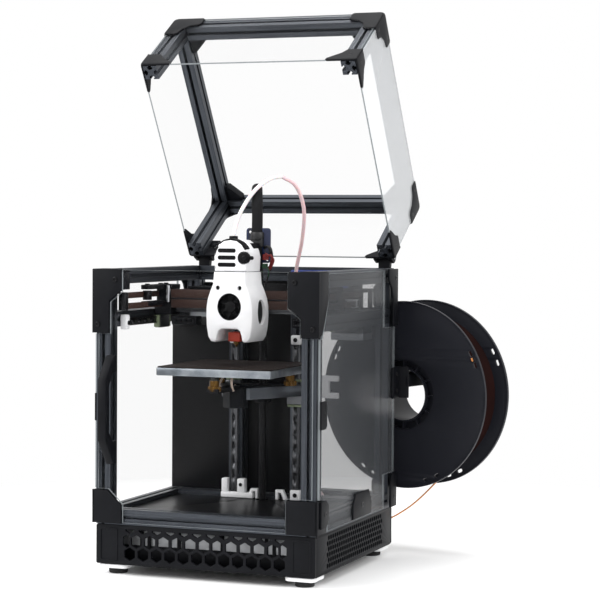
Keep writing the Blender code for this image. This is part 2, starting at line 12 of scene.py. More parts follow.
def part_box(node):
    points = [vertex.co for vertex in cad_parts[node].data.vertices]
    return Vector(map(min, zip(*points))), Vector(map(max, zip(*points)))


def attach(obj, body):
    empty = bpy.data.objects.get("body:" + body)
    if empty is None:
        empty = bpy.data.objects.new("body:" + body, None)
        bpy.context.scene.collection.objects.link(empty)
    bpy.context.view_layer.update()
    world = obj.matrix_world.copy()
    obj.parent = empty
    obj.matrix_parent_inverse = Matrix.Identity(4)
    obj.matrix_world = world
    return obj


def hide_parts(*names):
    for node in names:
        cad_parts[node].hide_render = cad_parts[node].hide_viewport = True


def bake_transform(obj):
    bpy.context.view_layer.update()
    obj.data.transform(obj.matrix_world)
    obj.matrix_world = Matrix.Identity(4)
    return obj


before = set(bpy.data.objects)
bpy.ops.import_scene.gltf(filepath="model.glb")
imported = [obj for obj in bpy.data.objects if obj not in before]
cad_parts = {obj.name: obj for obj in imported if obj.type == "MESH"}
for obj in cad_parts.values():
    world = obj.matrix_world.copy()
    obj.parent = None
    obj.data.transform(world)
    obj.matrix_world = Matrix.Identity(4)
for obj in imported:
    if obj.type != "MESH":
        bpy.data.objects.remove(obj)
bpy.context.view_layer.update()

bpy.ops.object.select_all(action="DESELECT")


# ------------------------------------------------------------ camera and stage
# The printer stands on a plain pale floor that fades into the white background, under soft boxes on both sides and
# one overhead. The camera looks at it a little from the right, from the height of its gantry.
MM = 0.001
front_left_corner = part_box("post_front_left")[0]
rear_right_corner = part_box("post_rear_right")[1]
MIDDLE = (front_left_corner + rear_right_corner) / 2


def at(x, y, z):
    """A point in metres, from millimetres about the middle of the frame."""
    return Vector((MIDDLE.x + x * MM, MIDDLE.y + y * MM, z * MM))


def colour(code):
    """An sRGB hex colour as linear red, green, blue and alpha."""
    parts = [int(code[k : k + 2], 16) / 255 for k in (1, 3, 5)]
    return (*(c / 12.92 if c <= 0.04045 else ((c + 0.055) / 1.055) ** 2.4 for c in parts), 1.0)


def turn_about(centre, degrees, axis):
    """The turn of a mesh about a line through a point."""
    return Matrix.Translation(centre) @ Matrix.Rotation(math.radians(degrees), 4, axis) @ Matrix.Translation(-centre)


def add_node(tree, kind, settings, links=()):
    """A node with its settings, by socket or by property, and (socket, source) links into it."""
    made = tree.nodes.new("ShaderNode" + kind)
    for key, value in settings.items():
        if isinstance(key, str) and hasattr(made, key):
            setattr(made, key, value)
        else:
            made.inputs[key].default_value = value
    for socket, source in links:
        tree.links.new(source, made.inputs[socket])
    return made


def surface(name, base, roughness, metallic=0.0, **more):
    """A material with a Principled shader, and its tree and shader for what is linked to them."""
    material = bpy.data.materials.new(name)
    material.use_nodes = True
    tree = material.node_tree
    shader = tree.nodes["Principled BSDF"]
    shader.inputs["Base Color"].default_value = colour(base)
    shader.inputs["Roughness"].default_value = roughness
    shader.inputs["Metallic"].default_value = metallic
    for socket, value in more.items():
        shader.inputs[socket.replace("_", " ")].default_value = value
    return material, tree, shader


def patterned(tree, shader, kind, settings, relief, placed=True):
    """A texture in the piece's own place, as relief of a (strength, depth) on the surface. Gives its output."""
    place = [("Vector", add_node(tree, "TexCoord", {}).outputs["Object"])] if placed else []
    pattern = add_node(tree, kind, settings, place).outputs[0]
    bump = add_node(tree, "Bump", {"Strength": relief[0], "Distance": relief[1]}, [("Height", pattern)])
    tree.links.new(bump.outputs[0], shader.inputs["Normal"])
    return pattern


camera_data = bpy.data.cameras.new("camera")
camera_data.lens = 118.5
camera_data.sensor_width = 36.0
camera_data.clip_end = 20.0
camera = bpy.data.objects.new("camera", camera_data)
camera.location = at(760.14, -1850.58, 341.44)
camera.rotation_euler = [math.radians(a) for a in (87.908, -0.397, 20.899)]
bpy.context.scene.collection.objects.link(camera)
bpy.context.scene.camera = camera

# Painted studio board: matt, with a very fine tooth
board, tree, shader = surface("painted_board", "#FAFAFA", 0.85)
patterned(tree, shader, "TexNoise", {"Scale": 90.0, "Detail": 4.0}, (0.03, 0.001), placed=False)
place = add_node(tree, "TexCoord", {})
away = add_node(tree, "VectorMath", {"operation": "LENGTH"}, [(0, place.outputs["Object"])])
fade = add_node(tree, "MapRange", {"From Min": 0.3, "From Max": 0.7}, [("Value", away.outputs["Value"])])
lit = add_node(tree, "Emission", {"Color": colour("#FFFFFF"), "Strength": 1.0})
far_white = add_node(tree, "MixShader", {}, [(0, fade.outputs[0]), (1, shader.outputs[0]), (2, lit.outputs[0])])
tree.links.new(far_white.outputs[0], tree.nodes["Material Output"].inputs["Surface"])
bpy.ops.mesh.primitive_plane_add(size=14.0)
floor = bpy.context.object
floor.name = "floor"
floor.data.materials.append(board)

world = bpy.data.worlds.new("studio")
world.use_nodes = True
backdrop = world.node_tree.nodes["Background"]
backdrop.inputs[0].default_value = colour("#FFFFFF")
backdrop.inputs[1].default_value = 1.0
bpy.context.scene.world = world
bpy.context.scene.view_settings.view_transform = "Standard"


def soft_box(name, place, target, size, power):
    """A square area light that faces a point."""
    light = bpy.data.lights.new(name, "AREA")
    light.shape = "SQUARE"
    light.size = size
    light.energy = power
    lamp = bpy.data.objects.new(name, light)
    lamp.location = place
    lamp.rotation_euler = (target - place).to_track_quat("-Z", "Y").to_euler()
    bpy.context.scene.collection.objects.link(lamp)


soft_box("left_box", at(-1500, -1300, 1500), at(0, 0, 220), 1.4, 34.0)
soft_box("right_box", at(1900, -700, 1100), at(0, 0, 220), 1.2, 16.0)
soft_box("top_box", at(0, 200, 2300), at(0, 0, 300), 1.6, 26.0)


# ----------------------------------------------------------------- frame beams
# 15 mm T-slot extrusions, sawn square and joined by blind screws in their end bores. They are dark anodised
# aluminium: a satin surface with faint die lines along each beam.
def tinted(tree, shader, pattern, low, high, start=0.0, end=1.0):
    """Colours the surface between two tones, by how strong the pattern is."""
    tone = add_node(tree, "ValToRGB", {}, [("Fac", pattern)])
    for stop, position, code in zip(tone.color_ramp.elements, (start, end), (low, high)):
        stop.position = position
        stop.color = colour(code)
    tree.links.new(tone.outputs[0], shader.inputs["Base Color"])


def anodised(name, along, turn=0.0):
    """Die lines run along one axis. turn is the tilt of the beam about X, in degrees."""
    # Anodised aluminium is a clear oxide over metal, so it keeps a metal's tinted gloss. The real lines are
    # 0.1 mm apart and are drawn 1 mm apart so that they show.
    material, tree, shader = surface(name, "#44474D", 0.4, 0.85)
    place = add_node(tree, "TexCoord", {})
    stretch = {"X": (12, 900, 900), "Y": (900, 12, 900), "Z": (900, 900, 12)}[along]
    levelled = add_node(
        tree,
        "Mapping",
        {"vector_type": "TEXTURE", "Rotation": (math.radians(turn), 0, 0)},
        [("Vector", place.outputs["Object"])],
    )
    lines = add_node(tree, "Mapping", {"Scale": stretch}, [("Vector", levelled.outputs[0])])
    streak = add_node(tree, "TexNoise", {"Scale": 1.0, "Detail": 3.0}, [("Vector", lines.outputs[0])])
    tinted(tree, shader, streak.outputs[0], "#383B41", "#4E5258", 0.35, 0.7)
    bump = add_node(tree, "Bump", {"Strength": 0.12, "Distance": 0.0002}, [("Height", streak.outputs[0])])
    tree.links.new(bump.outputs[0], shader.inputs["Normal"])
    return material


def dress(material, *names):
    """Puts a material on CAD nodes."""
    for name in names:
        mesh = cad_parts[name].data
        mesh.materials.clear()
        mesh.materials.append(material)


SIDES = (("left", -1), ("right", 1))
anodised_x = anodised("anodised_beam_x", "X")
anodised_y = anodised("anodised_beam_y", "Y")
anodised_z = anodised("anodised_beam_z", "Z")
dress(anodised_x, "base_beam_front", "base_beam_rear", "base_beam_middle", "top_beam_rear")
for side, _ in SIDES:
    dress(anodised_y, f"base_beam_{side}", f"top_beam_{side}", f"gantry_beam_{side}")
    dress(anodised_z, f"post_front_{side}", f"post_rear_{side}", f"z_post_{side}")


# -------------------------------------------------------------- printed skirts
# The base is closed by four ABS skirts printed flat: a front one with a comb of hexagons between two recessed
# end panels, sides with a finer honeycomb, and a rear one for the mains inlet.
def printed(name, low, high, roughness, specular=0.5):
    """Filament laid in layers: a matt plastic with fine level lines."""
    # ABS has an even, slightly waxy gloss. Layers are 0.2 mm and are drawn 0.5 mm apart so that they show.
    material, tree, shader = surface(name, low, roughness, Specular_IOR_Level=specular)
    layers = {"bands_direction": "Z", "Scale": 310.0, "Distortion": 0.4, "Detail": 1.0}
    patterned(tree, shader, "TexWave", layers, (0.18, 0.0001))
    place = add_node(tree, "TexCoord", {})
    cloud = add_node(tree, "TexNoise", {"Scale": 60.0, "Detail": 3.0}, [("Vector", place.outputs["Object"])])
    tinted(tree, shader, cloud.outputs[0], low, high, 0.3, 0.75)
    return material


def alone(obj):
    """Selects one object only and makes it the active one."""
    bpy.ops.object.select_all(action="DESELECT")
    obj.select_set(True)
    bpy.context.view_layer.objects.active = obj
    return obj


def settled(name):
    """Names the piece just added and moves its place into its mesh."""
    piece = bpy.context.object
    piece.name = name
    piece.data.name = name
    bpy.ops.object.transform_apply(location=True, rotation=True, scale=True)
    return piece


def eased(piece, width, steps=2, angle=35):
    """Rounds the edges that turn by more than an angle, and shades the piece smooth up to it."""
    alone(piece)
    if width:
        rounding = piece.modifiers.new("rounding", "BEVEL")
        rounding.width = width * MM
        rounding.segments = steps
        rounding.limit_method = "ANGLE"
        rounding.angle_limit = math.radians(angle)
        rounding.use_clamp_overlap = True
        bpy.ops.object.modifier_apply(modifier=rounding.name)
    bpy.ops.object.shade_smooth_by_angle(angle=math.radians(angle))
    return piece


WELD = 0.000001


def sealed(weld=0.0):
    """Merges doubled points of the active piece and turns its faces outwards."""
    bpy.ops.object.mode_set(mode="EDIT")
    bpy.ops.mesh.select_all(action="SELECT")
    if weld:
        bpy.ops.mesh.remove_doubles(threshold=weld)
    bpy.ops.mesh.normals_make_consistent(inside=False)
    bpy.ops.object.mode_set(mode="OBJECT")


FACING = {
    "XY": Matrix.Identity(3),
    "XZ": Matrix.Rotation(math.pi / 2, 3, "X"),
    "YZ": Matrix.Rotation(math.pi / 2, 3, "Z") @ Matrix.Rotation(math.pi / 2, 3, "X"),
}


def plate(name, outlines, thickness, facing, middle, edge=0.4):
    """A flat outline with any further outlines as holes, cut through a thickness, with its edges rounded."""
    bpy.ops.object.select_all(action="DESELECT")
    flat = bpy.data.curves.new(name, "CURVE")
    flat.dimensions = "2D"
    flat.fill_mode = "BOTH"
    flat.extrude = (thickness / 2 - edge) * MM
    flat.bevel_depth = edge * MM
    flat.offset = -edge * MM
    flat.bevel_resolution = 1
    for outline in outlines:
        line = flat.splines.new("POLY")
        line.points.add(len(outline) - 1)
        for point, (across, up) in zip(line.points, outline):
            point.co = (across * MM, up * MM, 0.0, 1.0)
        line.use_cyclic_u = True
    piece = bpy.data.objects.new(name, flat)
    bpy.context.scene.collection.objects.link(piece)
    alone(piece)
    bpy.ops.object.convert(target="MESH")
    piece = bpy.context.object
    piece.rotation_euler = FACING[facing].to_euler()
    piece.location = at(*middle)
    settled(name)
    sealed(WELD)
    return eased(piece, 0)


def block(name, x, y, z, edge=0.6, steps=2):
    """A box from x[0] to x[1] and so on, with rounded edges."""
    low, high = at(x[0], y[0], z[0]), at(x[1], y[1], z[1])
    bpy.ops.object.select_all(action="DESELECT")
    bpy.ops.mesh.primitive_cube_add(size=1.0, location=(low + high) / 2)
    bpy.context.object.scale = high - low
    return eased(settled(name), edge, steps)


AXES = {
    "X": (0.0, math.pi / 2, 0.0),
    "Y": (-math.pi / 2, 0.0, 0.0),
    "Z": (0.0, 0.0, 0.0),
}


def rod(name, centre, radius, length, axis, edge=0.4, sides=32):
    """A cylinder about one axis, with rounded ends."""
    bpy.ops.object.select_all(action="DESELECT")
    bpy.ops.mesh.primitive_cylinder_add(
        vertices=sides, radius=radius * MM, depth=length * MM, location=at(*centre), rotation=AXES[axis]
    )
    return eased(settled(name), edge, 2)


def joined(name, pieces):
    """Several meshes as one."""
    bpy.ops.object.select_all(action="DESELECT")
    for piece in pieces:
        piece.select_set(True)
    bpy.context.view_layer.objects.active = pieces[0]
    if len(pieces) > 1:
        bpy.ops.object.join()
    whole = bpy.context.object
    whole.name = name
    whole.data.name = name
    return whole


def copied(piece, x, y, z, turn=None):
    """A copy with its own mesh, moved by millimetres, after a turn about its own middle."""
    mesh = piece.data.copy()
    if turn is not None:
        middle = sum((Vector(c) for c in piece.bound_box), Vector()) / 8
        mesh.transform(Matrix.Translation(middle) @ turn.to_4x4() @ Matrix.Translation(-middle))
    mesh.transform(Matrix.Translation((x * MM, y * MM, z * MM)))
    twin = bpy.data.objects.new(piece.name, mesh)
    bpy.context.scene.collection.objects.link(twin)
    return twin


def span(sign, near, far):
    """From low to high, the run between two distances from the middle on one side."""
    return sorted((sign * near, sign * far))


def cut_by(piece, *cutters):
    """Takes the cutters' shapes out of the piece."""
    for cutter in cutters:
        alone(piece)
        hole = piece.modifiers.new("hole", "BOOLEAN")
        hole.object = cutter
        hole.solver = "EXACT"
        bpy.ops.object.modifier_apply(modifier=hole.name)
        bpy.data.objects.remove(cutter)
    return piece


def fitted(piece, material, body, replaces=()):
    """Gives the piece its finish, and hangs it on the body that it moves with."""
    if not piece.data.materials:
        piece.data.materials.append(material)
    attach(piece, body)
    if replaces:
        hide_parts(*replaces)
    return piece


def hexagon(across, up, radius, sides=6):
    """A regular outline about a point: a hexagon, or with many sides a round hole."""
    step = 2 * math.pi / sides
    return [(across + radius * math.sin(k * step), up + radius * math.cos(k * step)) for k in range(sides)]


def rounded_rectangle(x0, x1, y0, y1, radius, steps=4):
    """A rectangle's outline with its corners rounded."""
    corners = ((x1, y1, 0), (x0, y1, 1), (x0, y0, 2), (x1, y0, 3))
    outline = []
    for x, y, quarter in corners:
        cx = x - radius if x == x1 else x + radius
        cy = y - radius if y == y1 else y + radius
        for k in range(steps + 1):
            a = (quarter + k / steps) * math.pi / 2
            outline.append((cx + radius * math.cos(a), cy + radius * math.sin(a)))
    return outline


# Black ABS takes a low gloss, and white ABS a higher one.
black_print = printed("printed_black_abs", "#0A0B0F", "#101115", 0.5, 0.12)
FACE = 115.0
SKIRT_LOW, SKIRT_HIGH = 10.5, 49.7
PITCH = 14.3
ROW = PITCH * math.sqrt(3) / 2

CELL_RADIUS, CELL_LOW = 6.6, 21.5
HALF_CELL = [(-4.6, 44.3), (0, 41.6), (4.6, 44.3), (4.6, 45.6), (-4.6, 45.6)]
END_CELL = [(3, 27.5), (7.15, 30), (7.15, 37.9), (3, 40.3), (0.6, 38.9), (0.6, 28.9)]

comb = []
for row, count in ((0, 12), (1, 11)):
    for column in range(count):
        comb.append(hexagon((column - (count - 1) / 2) * PITCH, CELL_LOW + row * ROW, CELL_RADIUS))
for column in range(12):
    across = (column - 5.5) * PITCH
    comb.append([(across + a, b) for a, b in HALF_CELL])
for sign in (-1, 1):
    comb.append([(sign * (5.5 * PITCH + a), b) for a, b in END_CELL])
front_face = rounded_rectangle(-FACE, FACE, SKIRT_LOW, SKIRT_HIGH, 2.0)
skirt_front = plate("front_skirt", [front_face] + comb, 3.0, "XZ", (0, -FACE + 1.5, 0), 0.35)
end_panels = []
for side, sign in SIDES:
    x = span(sign, 91.5, 111.0)
    pocket = [
        rounded_rectangle(x[0], x[1], 13.5, 46.5, 2.5),
        rounded_rectangle(x[0] + 1.6, x[1] - 1.6, 15.1, 44.9, 1.8),
    ]
    end_panels.append(plate(f"skirt_end_{side}", pocket, 0.6, "XZ", (0, -FACE - 0.29, 0), 0.2))
fitted(joined("skirt_front_comb", [skirt_front] + end_panels), black_print, "frame", ["skirt_front"])

honeycomb = []
for row in range(6):
    for column in range(27 - row % 2):
        honeycomb.append(hexagon((column - (26 - row % 2) / 2) * 6.2, 17.4 + row * 5.4, 2.75))
side_face = rounded_rectangle(-111.7, 111.7, SKIRT_LOW, SKIRT_HIGH, 1.5)
for side, sign in SIDES:
    skirt = plate(f"skirt_{side}_comb", [side_face] + honeycomb, 3.0, "YZ", (sign * (FACE - 1.5), 0, 0), 0.25)
    fitted(skirt, black_print, "frame", [f"skirt_{side}"])

switch_hole = rounded_rectangle(-85.5, -70.5, 19.5, 40.5, 1.0)
inlet_hole = rounded_rectangle(-58.0, -30.0, 19.0, 41.0, 3.0)
vents = [rounded_rectangle(x, x + 3.0, 18.0, 42.0, 1.4) for x in range(-15, 85, 8)]
rear = plate("skirt_rear_plate", [front_face, switch_hole, inlet_hole] + vents, 3.0, "XZ", (0, FACE - 1.5, 0), 0.35)
fitted(rear, black_print, "frame", ["skirt_rear"])


# --------------------------------------------------------------- feet and tray
# Each corner stands on a square white printed foot with a soft rubber pad under it. The tray closes the base
# from below.
white_print = printed("printed_white_abs", "#E4E4E6", "#F1F1F2", 0.42)
# Moulded rubber is dull black, with a fine grain.
rubber, tree, shader = surface("foot_rubber", "#161616", 0.85)
patterned(tree, shader, "TexNoise", {"Scale": 900.0, "Detail": 2.0}, (0.3, 0.0002), placed=False)
tray = plate("tray", [rounded_rectangle(-111.7, 111.7, -111.7, 111.7, 2.0)], 2.6, "XY", (0, 0, 12.1), 0.3)
fitted(tray, black_print, "frame", ["base_tray"])
pads, cups = [], []
for _, sx in SIDES:
    for sy in (-1, 1):
        pads.append(rod("pad", (sx * 98.5, sy * 98.5, 2.9), 9.4, 5.8, "Z", 1.2))
        x, y = span(sx, 82.5, 114.0), span(sy, 82.5, 114.0)
        cups.append(plate("cup", [rounded_rectangle(*x, *y, 6.0)], 4.4, "XY", (0, 0, 8.2), 1.6))
fitted(joined("foot_pads", pads), rubber, "frame")
fitted(joined("foot_cups", cups), white_print, "frame")


# ---------------------------------------------------------------- clear sheets
# Cast acrylic, cut by laser: the sides and back of the chamber, held on the beams by printed clips. A cut edge is
# painted a pale, nearly solid grey, lighter than the face: a painted highlight for the light that a sheet gathers at
# its edges. The right side sheet still has its haze of protective film.
def acrylic(name, base, straight, slanted, roughness=0.06, specular=0.5):
    # Acrylic is clear and glossy. It passes nearly all light straight on, and mirrors the studio at a slant. straight
    # and slanted are how solid each of a sheet's two faces looks; where a sheet is solid its base colour shows, so a
    # pale base that turns solid at a slant is a painted reflection of the studio.
    material, tree, shader = surface(name, base, roughness, IOR=1.49, Specular_IOR_Level=specular)
    slant = add_node(tree, "LayerWeight", {"Blend": 0.5})
    solid = add_node(
        tree,
        "MapRange",
        {"From Min": 0.3, "From Max": 0.9, "To Min": straight, "To Max": slanted},
        [("Value", slant.outputs["Facing"])],
    )
    tree.links.new(solid.outputs[0], shader.inputs["Alpha"])
    return material


clear_sheet = acrylic("clear_acrylic", "#4A4C4E", 0.01, 0.03)
# Pale, and nearly solid at a slant: a painted reflection of the studio, for the cover's right sheet.
reflection_painted_sheet = acrylic("slanted_acrylic", "#E4E6E8", 0.02, 0.62)
hazy_sheet = acrylic("hazy_acrylic", "#484A4D", 0.28, 0.5, 0.3, 0.2)
# Cut edges: a pale grey painted highlight, for the light caught in a sheet's edges.
edge_painted_highlight = acrylic("cut_edge_of_acrylic", "#8B9194", 0.95, 1.0, 0.3)


def sheet(name, outline, thickness, facing, middle, face_material, body, replaces, edge=0.2, move=None):
    """A sheet whose flat faces are clear and whose cut edges carry a pale painted highlight."""
    made = plate(name, [outline], thickness, facing, middle, edge)
    made.data.materials.append(face_material)
    made.data.materials.append(edge_painted_highlight)
    through = FACING[facing] @ Vector((0, 0, 1))
    for face in made.data.polygons:
        face.material_index = 0 if abs(face.normal @ through) > 0.9 else 1
    if move:
        move(made)
    return fitted(made, face_material, body, replaces)


side_sheet = [
    (-112, 84.5), (-112, 236.5), (-106.5, 236.5), (-90, 272), (-90, 298), (79, 298), (79, 239),
    (112, 239), (112, 87), (81, 87), (81, 52), (-89, 52), (-89, 66), (-95, 78), (-106, 84.5),
]
CLEAR, GAP = 2.5, 0.3
SHEET_MIDDLE = FACE + GAP + CLEAR / 2
sheet("right_side_sheet", side_sheet, CLEAR, "YZ", (SHEET_MIDDLE, 0, 0), hazy_sheet, "frame", ["right_panel"])
sheet("left_side_sheet", side_sheet, CLEAR, "YZ", (-SHEET_MIDDLE, 0, 0), clear_sheet, "frame", ["left_panel"])
back_sheet = rounded_rectangle(-112, 112, 52, 285, 3)
sheet("back_sheet", back_sheet, CLEAR, "XZ", (0, SHEET_MIDDLE, 0), clear_sheet, "frame", ["rear_panel"])


# ----------------------------------------------------------------- panel clips
# Small ABS brackets, printed flat, hook over the edges of the sheets. Each is held in a beam's slot by one black
# steel screw with a hexagonal socket.
# Oiled black screws and bright zinc-plated steel: small, glossy metal faces.
steel_black, tree, shader = surface("blackened_steel", "#1A1A1C", 0.32, 0.8)
zinc, tree, shader = surface("bright_steel", "#B9BBBE", 0.28, 1.0)


def socket_screw(name, x, y, z, axis, radius=2.6, head=1.8):
    """A button-head screw with a hexagonal socket, its head's face towards +axis or -axis."""
    way = -1 if axis.startswith("-") else 1
    axis = axis[-1]
    along = {"X": 0, "Y": 1, "Z": 2}[axis]
    middle = [x, y, z]
    middle[along] += way * head / 2
    screw = rod(name, middle, radius, head, axis, 0.5, 20)
    middle[along] += way * head / 2
    return cut_by(screw, rod("socket", middle, radius * 0.55, head, axis, 0, 6))


CLIP_OUT = FACE + GAP + CLEAR
clip_shapes = {
    # name: outline in Y and Z, then the screw's place
    "rear_top": ([(101, 240), (115, 240), (115, 299.5), (86, 299.5), (86, 288), (95, 280), (101, 268)], (108, 290)),
    "rear_bottom": ([(97, 51), (115, 51), (115, 86), (103, 86), (97, 76)], (108, 62)),
    "bottom_middle": ([(-21, 54), (34, 54), (34, 68), (26, 79), (-13, 79), (-21, 68)], (6, 66)),
    "front_bottom": ([(-112, 57), (-98, 57), (-91, 63), (-91, 77), (-98, 83), (-112, 83)], (-101, 70)),
    "front_middle": ([(-113.5, 151), (-101, 151), (-98, 154), (-98, 175), (-101, 178), (-113.5, 178)], (-105, 164.5)),
    "rear_middle": ([(113.5, 168), (101, 168), (98, 171), (98, 190), (101, 193), (113.5, 193)], (105, 180)),
}
for side, sign in SIDES:
    clips, screws = [], []
    for name, (outline, screw_place) in clip_shapes.items():
        if (side, name) in (("right", "rear_middle"), ("left", "bottom_middle")):
            continue
        clip_face = CLIP_OUT + (2.4 if sign > 0 else 0.3)
        clips.append(plate(f"clip_{name}", [outline], 2.4, "YZ", (sign * (clip_face - 1.2), 0, 0), 0.9))
        y, z = screw_place
        screws.append(
            socket_screw("clip_screw", sign * (clip_face - 0.8), y, z, "X" if sign > 0 else "-X", 2.7, 1.2)
        )
    fitted(joined(f"sheet_clips_{side}", clips), black_print, "frame")
    fitted(joined(f"clip_screws_{side}", screws), steel_black, "frame")
rear_clips, rear_screws = [], []
for x in (-102, 102):
    for z in (66, 270):
        shape = rounded_rectangle(x - 11, x + 11, z - 12, z + 12, 4)
        rear_clips.append(plate("rear_clip", [shape], 2.6, "XZ", (0, CLIP_OUT + 1.5, 0), 0.9))
        rear_screws.append(socket_screw("rear_screw", x, CLIP_OUT + 2.7, z, "Y", 2.7, 1.4))
fitted(joined("rear_sheet_clips", rear_clips), black_print, "frame")
fitted(joined("rear_clip_screws", rear_screws), steel_black, "frame")


# --------------------------------------------------------------- front corners
# Printed covers close the bottom corners of the front opening, one with a mitred edge. At the top, idler blocks
# hold the front pulleys of the belts and wrap the posts; they are printed in two halves, which leaves a seam.
cover_left = [(-118.2, 51), (-86.6, 51), (-86.6, 69.6), (-101.6, 83.8), (-118.2, 83.8)]
cover_right = [(86.4, 51), (118.2, 51), (118.2, 83.6), (86.4, 83.6)]
covers = []
for name, outline, sign in (("left", cover_left, -1), ("right", cover_right, 1)):
    covers.append(plate("cover_front", [outline], 2.9, "XZ", (0, -FACE - 1.75, 0), 0.8))
    flank = [(-118.2, 51), (-92, 51), (-92, 62), (-98, 74), (-108, 83.7), (-118.2, 83.7)]
    covers.append(plate("cover_flank", [flank], 2.6, "YZ", (sign * (FACE + 1.6), 0, 0), 0.8))
fitted(joined("bottom_corner_covers", covers), black_print, "frame")

SHOULDER = {"left": 279.0, "right": 266.0}
for side, sign in SIDES:
    step = SHOULDER[side]
    front = [
        (sign * 118.5, 237.6), (sign * 118.5, 300), (sign * 87.3, 300), (sign * 87.3, step),
        (sign * 100.2, step - 10), (sign * 100.2, 237.6),
    ]
    flank = [(-118.0, 238.2), (-108.2, 240.6), (-91.4, 273), (-91.4, 299.7), (-118.0, 299.7)]
    inside = span(sign, 88.2, 99.7)
    shell = [
        plate("idler_front", [front], 3.2, "XZ", (0, -FACE - 1.9, 0), 0.7),
        plate("idler_flank", [flank], 3.0, "YZ", (sign * (FACE + 1.9), 0, 0), 0.7),
        block("idler_housing", inside, (-115.6, -96.0), (step + 0.8, 296.2), 0.8),
        block("idler_cap", inside, (-115.9, -95.4), (296.6, 299.6), 0.8),
        block("idler_post_cap", span(sign, 99.0, 117.8), (-117.8, -92.0), (299.8, 300.25), 0.1),
    ]
    whole = joined(f"idler_block_{side}", shell)
    fitted(whole, black_print, "frame", [f"idler_block_{side}"])
    places = ((93.7, 290), (112.3, 246))
    idler_screws = [socket_screw("idler_screw", sign * x, -FACE - 3.4, z, "-Y", 2.6, 1.2) for x, z in places]
    fitted(joined(f"idler_screws_{side}", idler_screws), steel_black, "frame")


# ------------------------------------------------------------------ front door
# One acrylic sheet on two printed hinges, with a long printed pull at its left edge that bows out at the middle
# to leave room for the fingers.
door_sheet = [
    (-112, 85), (-112, 236.8), (-99.2, 236.8), (-99.2, 268), (-86.5, 278), (-86.5, 299.5), (86.5, 299.5),
    (86.5, 265), (99.2, 255), (99.2, 236.8), (112, 236.8), (112, 85), (85.5, 85), (85.5, 52), (-85.5, 52),
    (-85.5, 70.5), (-101, 85),
]
sheet("door_sheet", door_sheet, CLEAR, "XZ", (0, -SHEET_MIDDLE, 0), clear_sheet, "door", ["door_panel"])
pull_side = [
    (-118.1, 216.4), (-125.6, 216.4), (-128.5, 213.5), (-143.6, 193.5), (-143.6, 135.0), (-125.6, 110.2),
    (-118.1, 110.2), (-118.1, 133.0), (-127.0, 133.0), (-134.4, 142.0), (-134.4, 188.0), (-127.0, 199.6),
    (-118.1, 199.6),
]
pull = plate("door_pull", [pull_side], 9.0, "YZ", (-95.5, 0, 0), 1.6)
fitted(pull, black_print, "door", ["door_handle"])
door_screws = [socket_screw("pull_screw", -95.5, -125.4, z, "-Y", 2.6, 1.2) for z in (117.5, 209.5)]
fitted(joined("pull_screws", door_screws), steel_black, "door")


# ------------------------------------------------------------- deck and middle
# Black composite panels: a thin aluminium skin over plastic, glossy black. One is the chamber's floor, with a
# hole for the lead screw, one closes the chamber behind the Z posts, and a strip hides the wires at the back.
# The lacquered skin has a soft gloss that mirrors what stands on it, with a faint orange peel.
composite, tree, shader = surface("black_composite", "#09090B", 0.33, Specular_IOR_Level=0.13)
patterned(tree, shader, "TexNoise", {"Scale": 150.0, "Detail": 2.0}, (0.02, 0.0001))
PANEL = 2.5
SCREW_Y = 36
deck_shape = [rounded_rectangle(-99.7, 99.7, -99.7, 45.2, 1.0), hexagon(0, SCREW_Y, 6.5, 32)]
deck = plate("deck_floor", deck_shape, PANEL, "XY", (0, 0, 59.25), 0.3)
fitted(deck, composite, "frame", ["deck_panel"])
middle_shape = [(-114, 65.3), (43, 65.3), (43, 283), (-60, 283), (-60, 239), (-114, 239)]
middle = plate("middle_sheet", [middle_shape], PANEL, "XZ", (0, 62.05, 0), 0.3)
fitted(middle, composite, "frame", ["middle_panel"])
cover_shape = rounded_rectangle(-84, 84, 258, 284.9, 2)
wiring_cover = plate("rear_wiring_cover", [cover_shape], 2.0, "XZ", (0, 104, 0), 0.3)
fitted(wiring_cover, composite, "frame")


# ---------------------------------------------------------------- power supply
# A closed mains supply stands in the base behind the front skirt: folded, galvanised steel with rows of vents
# and a black guard over its terminals. The mains inlet and its rocker switch sit in the rear skirt.
# Galvanised sheet is a mid grey metal with crystals of zinc that catch the light.
folded_steel, tree, shader = surface("folded_galvanised_steel", "#A9ABAE", 0.38, 0.7)
patterned(tree, shader, "TexVoronoi", {"Scale": 180.0}, (0.08, 0.0005))
case = block("supply_case", (-97, 97), (-99, -33), (13.7, 43.0), 1.0)
slots = []
for k in range(22):
    slots.append(block("vent", (-88 + k * 8, -84 + k * 8), (-80, -52), (42, 44), 0))
fitted(cut_by(case, joined("vents", slots)), folded_steel, "frame", ["power_supply"])
guard = [block("supply_guard", (-97, 97), (-100.4, -99.1), (13.7, 28.0), 0.3)]
for x in (-74, -66, -34, 12, 58, 66):
    guard.append(block("terminal_cover", (x, x + 3.2), (-101.4, -99.1), (26.0, 43.0), 0.3))
fitted(joined("supply_guard", guard), black_print, "frame")
rocker = plate("mains_rocker", [rounded_rectangle(-84.5, -71.5, 21, 39, 1.0)], 7.0, "XZ", (0, 113.5, 0), 0.6)
rocker.data.transform(turn_about(at(-78, 113.5, 30), 7, "X"))
fitted(rocker, black_print, "switch", ["rocker_switch"])
inlet_shape = [rounded_rectangle(-57.6, -30.4, 19.4, 40.6, 2.8), rounded_rectangle(-55, -33, 22, 38, 2.4)]
inlet = plate("mains_inlet", inlet_shape, 12.0, "XZ", (0, 110.5, 0), 0.5)
PRONGS = ((-50, 29), (-44, 33), (-38, 29))
prongs = [block("prong", (x - 1, x + 1), (104.6, 113.5), (z - 2, z + 2), 0.3) for x, z in PRONGS]
floor_of_inlet = block("inlet_floor", (-56, -32), (104, 106), (21, 39), 0.3)
fitted(joined("inlet_shell", [inlet, floor_of_inlet]), black_print, "frame")
fitted(joined("inlet_prongs", prongs), zinc, "frame")


